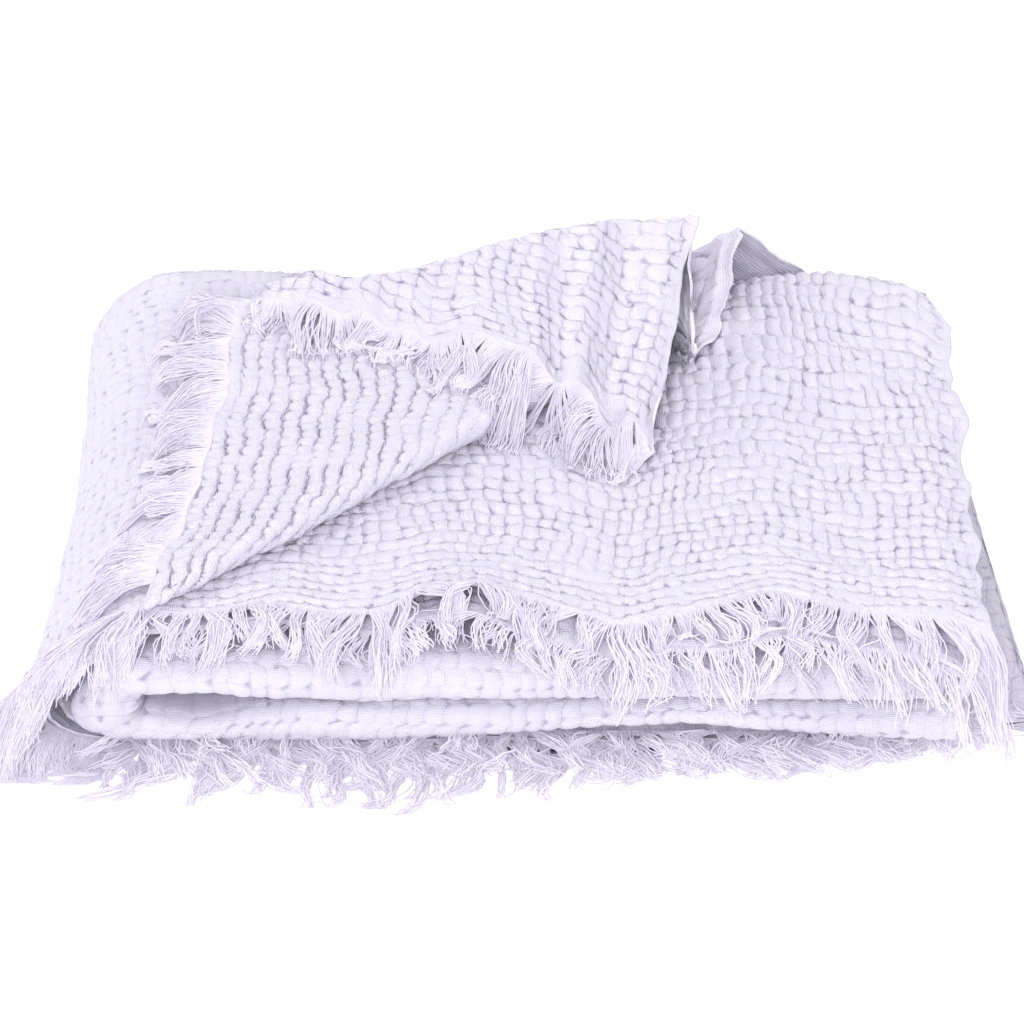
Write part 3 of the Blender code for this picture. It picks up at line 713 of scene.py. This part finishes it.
def restBlock():
    # plies 2, 3 and 6, which one stretch of the sheet runs through
    steps, turn, edgeTurn, front = (restPlies[key] for key in ("rows", "turnRows", "edgeTurnRows", "front"))
    rows = plyRows(2, steps, 1, 0)[:-1] + turnRows(2, 3, turn, 0)[:-1] + plyRows(3, steps)[:-1]
    rows += turnRows(3, 6, edgeTurn, 1)[:-1] + plyRows(6, restPlies["backRows"], 1, front)[:-1]
    rows += plyRows(6, restPlies["frontRows"], front, 0)
    columns = lowColumns(restPlies["lowColumns"], 1, 0)[:-1]
    columns += sideColumns(restPlies["sideColumns"], math.pi, 0)[:-1] + topColumns(restPlies["topColumns"])
    last = len(rows) - 1
    return sheetBlock(rows, columns, last, 8.8, (120, last - 20, above), puff=0.0026,
                      fringed=range(len(columns)), fringeRow=last)


def makeInner(material):
    n, depth = folds["plyRows"], folds["depth"]
    rows = plyRows(1, n, depth, 0)[:-1] + turnRows(1, 4, folds["turnRows"], 0) + plyRows(4, n, 0, depth)[1:]
    columns = wholeWay(folds["columns"], folds["sideColumns"], folds["lowColumns"])
    rolled = sheetBlock(
        rows, columns, n, 5.5, (30, n + 16, before), pitch=0.0110, width=0.0098, rowCrease=0.30,
        cellCrease=0.55, puff=0.0022, zigzag=0.18, bulge=0.08, wiggle=0.2, stagger=0.05,
    )
    columns = wholeWay(*deepPlies["columns"])
    deep = [
        sheetBlock(plyRows(ply, deepPlies["rows"], deepPlies["start"], 1), columns, 0, 5.5, (10, 2, above),
                   puff=0.0014)
        for ply in deepPlies["plies"]
    ]
    columns = lowColumns(basePly["columns"])
    rows = joined(plyRows(8, basePly["rows"]), turnRows(8, 1, basePly["turnRows"], 1))
    base = sheetBlock(rows, columns, basePly["rows"], 3.4, (60, 7, below), fringed=range(len(columns)))
    rows = joined(turnRows(4, 5, fifthPly["turnRows"], 1), plyRows(5, fifthPly["rows"], 1, 0))
    columns = wholeWay(*fifthPly["columns"])
    fifth = sheetBlock(rows, columns, fifthPly["turnRows"], 6.1, (100, 12, above), puff=0.0022)
    rows = joined(plyRows(7, seventhPly["rows"]), turnRows(7, 2, seventhPly["turnRows"], 1))
    side = sideColumns(seventhPly["sideColumns"], math.pi, 0)
    columns = joined(lowColumns(seventhPly["lowColumns"], 1, 0), side)
    seventh = sheetBlock(rows, columns, seventhPly["rows"], 6.6, (20, 7, above), puff=0.0016)
    blocks = [rolled, *deep, base, fifth, seventh, restBlock(), hemBlock()]
    return clothPiece("throw_inner", blocks, material)


# Fringe: the threads gather into locks that wave, cross and curl.
thread = {
    "radius": 0.00051,
    "tip": 0.75,
    "segments": 8,
    "curl": (0.0006, 0.0010),  # the least, and how much more it may be
    "length": (0.86, 0.2),
    "wildLength": 1.12,
    "beats": (4, 6),
    "depth": 0.0012,
    "apart": 0.0050,
    "root": 0.0012,  # how far inside the cloth's edge it starts
    "clear": 0.0008,  # over the cloth that it lies on
    "heap": 0.003,
}


def frameOfEdge(place, share):
    # a place on the cloth's edge with the way out of the cloth, the way along and the way up
    step = 0.004
    point, inside = place(share, 0), place(share, 1)
    side = (place(min(1, share + step), 0) - place(max(0, share - step), 0)).normalized()
    out = point - inside
    out = (out - side * out.dot(side)).normalized()
    return point, out, side, side.cross(out).normalized()


def sheetEdge(ply, part, start, end):
    span = 0.02

    def place(share, inside):
        return sheetPlace((ply, ply, 0.0, span * inside), part, mix(start, end, share))

    return place


def cornerEdge(start, end):
    def place(share, inside):
        across = mix(start, end, share)
        if across <= cornerShape["pinch"]:
            return cornerPoints(across, (1, 24, 0, 0))[-1 - inside]
        return cornerPoints(across, (1, 1, 1, 16))[-1 - inside]

    return place


# what a fringe has unless its own row says otherwise, as in the solids where they have it too
fringeShape = {
    "reach": 0.030,  # out of the cloth
    "drop": 0.004,
    "spread": 0.0,  # away from the cloth's face
    "lastSpread": None,  # the same at its last end
    "growth": 0.0,  # how much longer it is at its last end, as a share
    "lean": 0.0,  # along the cloth, at its first and at its last end
    "lastLean": 0.0,
    "leanLate": 1,  # above 1 the lean changes only near the last end
    "uneven": 0.45,
    "mess": 0.006,  # how far a lock strays to its sides
    "wave": 0.0034,  # how far it waves
    "hook": 0.008,  # how far a lock's tip curls
    "frizz": 1.0,  # how far each thread strays from its lock, as a share
    "loft": 0.0,  # how far the threads arch up
    "gather": 0.5,  # how tightly a lock gathers
    "level": 0.0004,  # it lies no lower than this
    "above": 0.003,  # how far up it looks for cloth to lie on
    "swell": 0.0,  # how much longer it is at one place along it, as a share
    "swellAt": 0.6,
    "swellWidth": 0.2,
    "up": 1,
}
fringes = [
    {"node": "fringe_cover", "edge": sheetEdge(7, "top", 0, 1), "length": 0.42, "threads": 1060, "up": -1,
     "reach": 0.021, "drop": 0.026, "growth": 0.2, "swell": 0.4, "swellAt": 0.98, "swellWidth": 0.05,
     "lean": -0.004, "lastLean": 0.020, "leanLate": 5, "above": 0.03, "spread": 0.006, "mess": 0.010,
     "uneven": 0.6, "wave": 0.0042, "loft": 0.005},
    {"node": "fringe_under", "edge": sheetEdge(6, "top", 0, 1), "length": 0.41, "threads": 700, "up": -1,
     "reach": 0.009, "drop": 0.014, "growth": 0.7, "swell": 0.6, "swellAt": 0.98, "swellWidth": 0.05,
     "lean": -0.002, "lastLean": 0.016, "leanLate": 5, "spread": 0.004, "gather": 0.4, "mess": 0.009,
     "uneven": 0.6, "loft": 0.004},
    {"node": "fringe_corner", "edge": cornerEdge(0.04, 0.5), "length": 0.25, "threads": 1150,
     "reach": 0.032, "drop": 0.022, "spread": 0.007, "lean": -0.022, "lastLean": -0.006, "above": 0.03,
     "gather": 0.16, "uneven": 0.6, "wave": 0.0050, "mess": 0.012, "hook": 0.014, "frizz": 1.5,
     "loft": 0.005},
    {"node": "fringe_flap", "edge": cornerEdge(0.515, 1), "length": 0.25, "threads": 1000, "up": -1,
     "reach": 0.024, "drop": 0.034, "spread": 0.003, "lean": 0.008, "lastLean": 0.004, "above": 0.03,
     "growth": -0.05, "swell": 1.0, "swellAt": 0.62, "swellWidth": 0.18, "hook": 0.010, "gather": 0.30,
     "uneven": 0.75, "mess": 0.006, "frizz": 0.9, "loft": 0.003},
    {"node": "fringe_side", "edge": sheetEdge(8, "side", 0, math.pi), "length": 0.13, "threads": 760,
     "reach": 0.022, "drop": 0.036, "spread": 0.014, "lastSpread": 0.029, "lean": 0.022, "lastLean": -0.004,
     "wave": 0.005, "frizz": 1.6, "mess": 0.011, "loft": 0.005},
    {"node": "fringe_side_second", "edge": sheetEdge(7, "side", math.pi, 0), "length": 0.11, "threads": 600,
     "up": -1, "reach": 0.026, "drop": 0.034, "spread": 0.020, "lastSpread": 0.008, "level": 0.002,
     "wave": 0.006, "frizz": 1.7, "mess": 0.012, "loft": 0.005},
    {"node": "fringe_floor", "edge": sheetEdge(8, "low", 0, 1), "length": 0.43, "threads": 760, "up": -1,
     "reach": 0.036, "growth": -0.70, "swell": 0.35, "swellAt": 0.33, "lean": -0.020, "lastLean": 0.004,
     "wave": 0.004, "spread": 0.004, "mess": 0.018, "gather": 0.75, "uneven": 0.5, "hook": 0.013,
     "loft": 0.009},
    {"node": "fringe_floor_second", "edge": sheetEdge(7, "low", 1, 0), "length": 0.43, "threads": 700,
     "reach": 0.021, "growth": 0.4, "swell": -0.8, "swellAt": 0.0, "swellWidth": 0.05, "lean": -0.002,
     "lastLean": -0.014, "level": 0.002, "wave": 0.004, "spread": 0.006, "mess": 0.016, "gather": 0.75,
     "uneven": 0.5, "hook": 0.014, "frizz": 1.1, "loft": 0.008},
    {"node": "fringe_floor_third", "edge": sheetEdge(6, "low", 1, 0), "length": 0.41, "threads": 700,
     "reach": 0.021, "growth": 0.3, "lean": -0.004, "lastLean": -0.010, "level": 0.005, "wave": 0.004,
     "spread": 0.009, "mess": 0.015, "gather": 0.7, "uneven": 0.5, "drop": 0.008, "hook": 0.014,
     "frizz": 1.1, "loft": 0.007},
    {"node": "fringe_floor_fourth", "edge": sheetEdge(5, "low", 0, 1), "length": 0.41, "threads": 760,
     "up": -1, "reach": 0.022, "growth": -0.2, "lean": -0.006, "lastLean": 0.004, "level": 0.006,
     "wave": 0.004, "spread": 0.010, "mess": 0.014, "gather": 0.7, "uneven": 0.5, "drop": 0.010,
     "hook": 0.012, "frizz": 1.1, "loft": 0.006},
]
lock = {"spacing": 0.0075, "arch": 0.9, "stray": 0.08, "strayCurl": 3.0, "loops": 0.35, "fan": 0.4}


def threadProfile():
    # three sides, for every thread
    shape = bpy.data.curves.new("threadProfile", "CURVE")
    spline = shape.splines.new("POLY")
    spline.points.add(2)
    for i, point in enumerate(spline.points):
        angle = 2 * math.pi * i / 3
        point.co = (math.cos(angle), math.sin(angle), 0, 1)
    spline.use_cyclic_u = True
    return linked("threadProfile", shape)


def lockOf(fringe, middle, chance):
    # one lock's own shape
    def either(size):
        return size * (2 * chance.random() - 1)

    grown = 1 + fringe["growth"] * middle
    grown += fringe["swell"] * bump(middle, fringe["swellAt"], fringe["swellWidth"])
    size = grown * (1 + fringe["uneven"] * (chance.random() - 0.5))
    last = fringe["spread"] if fringe["lastSpread"] is None else fringe["lastSpread"]
    return {
        "reach": fringe["reach"] * size,
        "drop": fringe["drop"] * grown * (1 + fringe["uneven"] * (chance.random() - 0.5)),
        "lean": mix(fringe["lean"], fringe["lastLean"], middle ** fringe["leanLate"])
        + either(fringe["mess"]),
        "rise": mix(fringe["spread"], last, middle) * (0.1 + 1.1 * chance.random()),
        "sway": fringe["wave"] * (0.5 + chance.random()),
        "swayTurns": 0.35 + 0.5 * chance.random(),
        "swayStart": 2 * math.pi * chance.random(),
        "lift": fringe["wave"] * 0.6 * chance.random(),
        "liftStart": 2 * math.pi * chance.random(),
        "hookSide": either(fringe["hook"]),
        "hookBack": fringe["hook"] * (0.9 if chance.random() < lock["loops"] else 0.15) * chance.random(),
        "gather": fringe["gather"] * (0.6 + 0.7 * chance.random()),
        "fan": lock["fan"] * chance.random(),
        "layer": chance.random(),
    }


def lockPath(shape, out, side, up, t):
    # where the lock's middle has got to after a share t of its length
    turns = shape["swayStart"] + 2 * math.pi * shape["swayTurns"] * t
    sway = shape["sway"] * (math.sin(turns) - math.sin(shape["swayStart"])) * min(1.0, 2 * t)
    lift = shape["lift"] * (math.sin(shape["liftStart"] + 5 * t) - math.sin(shape["liftStart"])) * t
    hooked = max(0.0, t - 0.5) ** 2 * 4
    spot = out * (shape["reach"] * t * (1 + lock["arch"] * (1 - t)) - shape["hookBack"] * hooked)
    spot += side * (shape["lean"] * t + sway + shape["hookSide"] * hooked * 0.5)
    spot += up * (shape["rise"] * t + lift)
    spot.z -= shape["drop"] * t * t
    return spot


def threadPoints(fringe, here, shape, chance, trees):
    point, out, side, up, offset = here
    up = up * fringe["up"]
    wild = chance.random() < lock["stray"]

    def between(name):
        low, more = thread[name]
        return low + more * chance.random()

    curl = between("curl") * (lock["strayCurl"] if wild else fringe["frizz"])
    ends = between("length") * (thread["wildLength"] if wild else 1)
    phase, beat = 2 * math.pi * chance.random(), between("beats")
    phaseUp, beatUp = 2 * math.pi * chance.random(), between("beats")
    depth = thread["depth"] * (chance.random() - 0.5)
    loft = fringe["loft"] * chance.random() ** 1.5
    apart = thread["apart"] * fringe["frizz"] * (chance.random() - 0.5)
    places = []
    count = thread["segments"]
    for i in range(count + 1):
        t = i / count * ends
        gathered = shape["gather"] * smooth(2.5 * t)
        spot = point - out * thread["root"] * (1 - t) + lockPath(shape, out, side, up, t)
        spot += side * (-offset * gathered + (offset * shape["fan"] + apart) * t * t)
        spot += side * curl * (math.sin(phase + beat * t) - math.sin(phase)) * min(1.0, 3 * t)
        spot += up * (curl * math.sin(phaseUp + beatUp * t) * t + depth * min(1.0, 4 * t))
        spot.z += loft * math.sin(2.6 * t)
        lowest = fringe["level"] * (1 - 0.5 * t) + thread["radius"] * (1 + 5 * shape["layer"] * t)
        spot.z = max(spot.z, lowest)
        if i:
            start = spot + Vector((0, 0, fringe["above"]))
            for tree in trees:
                hit = tree.ray_cast(start, Vector((0, 0, -1)), fringe["above"] + thread["clear"])[0]
                if hit:
                    heaped = thread["heap"] * shape["layer"] * min(1.0, 2 * t)
                    spot.z = max(spot.z, hit.z + thread["clear"] + heaped)
        places.append(spot)
    return places


def makeFringe(fringe, profile, material, trees):
    fringe = {**fringeShape, **fringe}
    chance = random.Random(fringe["node"])
    name = "threads_" + fringe["node"]
    curves = bpy.data.curves.new(name, "CURVE")
    curves.dimensions = "3D"
    curves.bevel_mode = "OBJECT"
    curves.bevel_object = profile
    curves.use_fill_caps = True
    locks = round(fringe["length"] / lock["spacing"])
    perLock = fringe["threads"] / locks
    last = thread["segments"]
    radii = [thread["radius"] * mix(1, thread["tip"], i / last) for i in range(last + 1)]
    for k in range(locks):
        shape = lockOf(fringe, (k + 0.5) / locks, chance)
        count = round(perLock * (k + 1)) - round(perLock * k)
        for i in range(count):
            share = (i + 0.2 + 0.6 * chance.random()) / count
            point, out, side, up = frameOfEdge(fringe["edge"], (k + share) / locks)
            offset = (share - 0.5) * fringe["length"] / locks
            places = threadPoints(fringe, (point, out, side, up, offset), shape, chance, trees)
            spline = curves.splines.new("POLY")
            spline.points.add(last)
            spline.points.foreach_set("co", [value for place in places for value in (*place, 1)])
            thick = 0.8 + 0.4 * chance.random()
            spline.points.foreach_set("radius", [radius * thick for radius in radii])
    made = linked(name, curves)
    bpy.context.view_layer.update()
    graph = bpy.context.evaluated_depsgraph_get()
    mesh = bpy.data.meshes.new_from_object(made.evaluated_get(graph))
    bpy.data.objects.remove(made)
    piece = linked(name, mesh)
    mesh.materials.clear()
    mesh.materials.append(material)
    mesh.shade_smooth()
    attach(piece, "root")
    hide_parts(fringe["node"])
    print(piece.name, "has", len(mesh.polygons), "faces")
    return piece


def newMaterial(name):
    material = bpy.data.materials.new(name)
    material.use_nodes = True
    return material, material.node_tree.nodes, material.node_tree.links


def mathNode(nodes, links, operation, first, second=None, third=None):
    node = nodes.new("ShaderNodeMath")
    node.operation = operation
    for socket, value in zip(node.inputs, (first, second, third)):
        if value is None:
            continue
        if isinstance(value, (int, float)):
            socket.default_value = value
        else:
            links.new(value, socket)
    return node.outputs[0]


def setInputs(node, values):
    for name, value in values.items():
        node.inputs[name].default_value = value


def noiseNode(nodes, links, place, scale, detail):
    cloud = nodes.new("ShaderNodeTexNoise")
    links.new(place, cloud.inputs["Vector"])
    setInputs(cloud, {"Scale": scale, "Detail": detail})
    return cloud.outputs["Fac"]


def tinted(nodes, links, factor, first, second):
    # the first colour where the factor is 0, the second where it is 1
    colour = nodes.new("ShaderNodeMix")
    colour.data_type = "RGBA"
    setInputs(colour, {"A": (*first, 1), "B": (*second, 1)})
    links.new(factor, colour.inputs["Factor"])
    return colour.outputs["Result"]


muslin = {
    "light": (0.835, 0.808, 0.925),
    # shade is the colour of the painted shade in the creases, and of the weave's darker grain
    "shade": (0.530, 0.500, 0.650),
    "finish": {"Roughness": 0.95, "Sheen Weight": 0.2, "Sheen Roughness": 0.6, "Specular IOR Level": 0.15},
    "creaseWidth": 0.07,  # of a cell, as the other widths are
    "knotWidth": 0.26,
    "knotStretch": 1.2,
    "shadeWidth": 0.20,
    "jitter": 0.26,  # how far a crease's line strays
    "threadPitch": 0.00095,
    "threadJitter": 0.0012,
    # how much darker each mark is: the lines, knots and broad marks are painted shade in the creases, fluff
    # and gaps are the weave's grain; and how far each stands up
    "shadeAndGrain": {"line": 0.28, "knot": 1.15, "fluff": 0.32, "broad": 0.09, "gaps": 0.22},
    "relief": {"line": -0.6, "broad": -0.45, "knot": -0.5, "gauze": 0.55, "fluff": 0.22, "pucker": 0.9},
    "bump": {"Strength": 0.8, "Distance": 0.0011},
    # scale and detail
    "noise": {"uneven": (240.0, 2.0), "width": (120.0, 1.0), "fluff": (900.0, 3.0), "pucker": (3.4, 2.0)},
}


def makeMuslin():
    material, nodes, links = newMaterial("muslin")
    shader = nodes["Principled BSDF"]
    setInputs(shader, muslin["finish"])

    def calc(operation, *values):
        return mathNode(nodes, links, operation, *values)

    def attribute(name):
        read = nodes.new("ShaderNodeAttribute")
        read.attribute_name = name
        split = nodes.new("ShaderNodeSeparateXYZ")
        links.new(read.outputs["Vector"], split.inputs[0])
        return read.outputs["Vector"], split.outputs

    def noiseOf(place, name):
        return noiseNode(nodes, links, place, *muslin["noise"][name])

    def fall(value, width):
        # 1 where the value is 0, and 0 from the width on
        line = nodes.new("ShaderNodeMapRange")
        line.interpolation_type = "SMOOTHSTEP"
        links.new(value, line.inputs["Value"])
        setInputs(line, {"From Min": 0.0, "To Min": 1.0, "To Max": 0.0})
        if isinstance(width, float):
            setInputs(line, {"From Max": width})
        else:
            links.new(width, line.inputs["From Max"])
        return line.outputs[0]

    def threads(value):
        turns = calc("MULTIPLY", value, math.pi / muslin["threadPitch"])
        return calc("ABSOLUTE", calc("SINE", turns))

    def weighed(marks, shares):
        # the sum of the marks, each times its share
        total = None
        for name, share in shares.items():
            part = calc("MULTIPLY", marks[name], share)
            total = part if total is None else calc("ADD", total, part)
        return total

    place, (cell, row, _) = attribute("crinkle")
    _, (cellFade, rowFade, pitted) = attribute("creased")
    cloth, (across, along, _) = attribute("woven")

    # creases: a thin line in a wider shade, both of a changing width and strength, with knots where they
    # cross; in the colour these are painted shade, in the bump they are dents
    uneven = noiseOf(cloth, "uneven")
    jitter = calc("MULTIPLY", calc("SUBTRACT", uneven, 0.5), muslin["jitter"])
    rowFar = calc("PINGPONG", calc("ADD", row, jitter), 0.5)
    cellFar = calc("PINGPONG", calc("SUBTRACT", cell, jitter), 0.5)
    width = calc("MULTIPLY", noiseOf(cloth, "width"), 2 * muslin["creaseWidth"])
    rowLine = calc("MULTIPLY", fall(rowFar, width), rowFade)
    cellLine = calc("MULTIPLY", fall(cellFar, width), cellFade)
    line = calc("MAXIMUM", rowLine, cellLine)
    knotRow = fall(rowFar, muslin["knotWidth"])
    knotCell = fall(cellFar, muslin["knotWidth"] * muslin["knotStretch"])
    knot = calc("MULTIPLY", calc("MULTIPLY", knotRow, knotCell), pitted)
    rowShade = calc("MULTIPLY", fall(rowFar, muslin["shadeWidth"]), rowFade)
    cellShade = calc("MULTIPLY", fall(cellFar, muslin["shadeWidth"]), cellFade)
    broad = calc("MAXIMUM", rowShade, cellShade)

    # the plain weave's two thread systems, a little uneven
    moved = calc("MULTIPLY", uneven, muslin["threadJitter"])
    gauze = calc("MULTIPLY", threads(calc("ADD", across, moved)), threads(calc("ADD", along, moved)))
    fluff = noiseOf(cloth, "fluff")
    marks = {"line": line, "knot": knot, "broad": broad, "gauze": gauze, "fluff": fluff}
    marks["pucker"] = noiseOf(place, "pucker")
    dark = {**marks, "fluff": calc("SUBTRACT", fluff, 0.5), "gaps": calc("SUBTRACT", 1.0, gauze)}
    # the colour darkens towards shade by painted shade in the creases and by the weave's grain
    shadeAndGrain = weighed(dark, muslin["shadeAndGrain"])
    links.new(tinted(nodes, links, shadeAndGrain, muslin["light"], muslin["shade"]), shader.inputs["Base Color"])

    bumpNode = nodes.new("ShaderNodeBump")
    setInputs(bumpNode, muslin["bump"])
    links.new(weighed(marks, muslin["relief"]), bumpNode.inputs["Height"])
    links.new(bumpNode.outputs["Normal"], shader.inputs["Normal"])
    return material


# the glow, its emission, is painted light: it stands for light that scatters through loose cotton and lifts
# the shaded gaps between the threads
yarn = {
    "light": (0.610, 0.588, 0.675),
    "shade": (0.56, 0.540, 0.625),
    "finish": {
        "Roughness": 0.85, "Sheen Weight": 0.08, "Sheen Roughness": 0.5, "Specular IOR Level": 0.15,
        # painted light: how strongly the yarn glows in its light colour
        "Emission Strength": 0.31,
    },
    "patches": (320.0, 2.0),  # scale and detail
    "spread": {"From Min": 0.25, "From Max": 0.55},
}


def makeYarn():
    material, nodes, links = newMaterial("fringeThread")
    shader = nodes["Principled BSDF"]
    setInputs(shader, {**yarn["finish"], "Emission Color": (*yarn["light"], 1)})
    where = nodes.new("ShaderNodeTexCoord")
    spread = nodes.new("ShaderNodeMapRange")
    links.new(noiseNode(nodes, links, where.outputs["Object"], *yarn["patches"]), spread.inputs["Value"])
    setInputs(spread, yarn["spread"])
    colour = tinted(nodes, links, spread.outputs[0], yarn["shade"], yarn["light"])
    links.new(colour, shader.inputs["Base Color"])
    return material


studio = {
    "floorSize": 6,
    "floorPaper": {
        "Base Color": (0.60, 0.60, 0.60, 1), "Emission Color": (1, 1, 1, 1), "Emission Strength": 0.62,
        "Roughness": 1.0, "Specular IOR Level": 0.0,
    },
    "world": 0.64,
    "worldColour": (0.97, 0.97, 1.0),
    "lights": [  # place, size, watts
        ((-0.1, 0.9, 1.5), 0.8, 10.0),
        ((-0.3, -2.2, 1.4), 1.2, 33.0),
        ((2.0, -0.6, 1.2), 1.2, 21.0),
        ((-2.2, -0.4, 0.8), 1.2, 18.0),
    ],
    "target": (-0.006, 0.0, 0.045),
    "distance": 2.2,
    "elevation": 35.0,
    "lens": 147.0,
    "sensor": 36,
}


def makeStudio():
    bm = bmesh.new()
    bmesh.ops.create_grid(bm, x_segments=4, y_segments=4, size=studio["floorSize"])
    mesh = bpy.data.meshes.new("floor")
    bm.to_mesh(mesh)
    bm.free()
    floor = linked("floor", mesh)
    material, nodes, _ = newMaterial("floorPaper")
    setInputs(nodes["Principled BSDF"], studio["floorPaper"])
    mesh.materials.append(material)
    target = Vector(studio["target"])
    for number, (place, size, watts) in enumerate(studio["lights"]):
        light = bpy.data.lights.new(f"softbox{number}", "AREA")
        light.shape = "DISK"
        light.size = size
        light.energy = watts
        lamp = linked(f"softbox{number}", light)
        lamp.location = place
        lamp.rotation_euler = (target - Vector(place)).to_track_quat("-Z", "Y").to_euler()
    world = bpy.data.worlds.new("studio")
    world.use_nodes = True
    background = world.node_tree.nodes["Background"]
    setInputs(background, {"Color": (*studio["worldColour"], 1), "Strength": studio["world"]})
    bpy.context.scene.world = world
    bpy.context.scene.view_settings.view_transform = "Standard"
    camera = bpy.data.cameras.new("camera")
    camera.lens = studio["lens"]
    camera.sensor_width = studio["sensor"]
    eye = linked("camera", camera)
    tilt = math.radians(studio["elevation"])
    eye.location = target + studio["distance"] * Vector((0, -math.cos(tilt), math.sin(tilt)))
    eye.rotation_euler = (math.pi / 2 - tilt, 0, 0)
    bpy.context.scene.camera = eye


def main():
    makeStudio()
    cloth = makeMuslin()
    pieces = [makeOuter(cloth), makeCover(cloth), makeCorner(cloth), makeInner(cloth)]
    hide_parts("throw_cloth")
    graph = bpy.context.evaluated_depsgraph_get()
    trees = [BVHTree.FromObject(piece, graph) for piece in pieces]
    print("cloth is folded")
    profile = threadProfile()
    yarnMaterial = makeYarn()
    threads = [makeFringe(fringe, profile, yarnMaterial, trees) for fringe in fringes]
    bpy.data.objects.remove(profile)
    print("fringe is laid")


main()
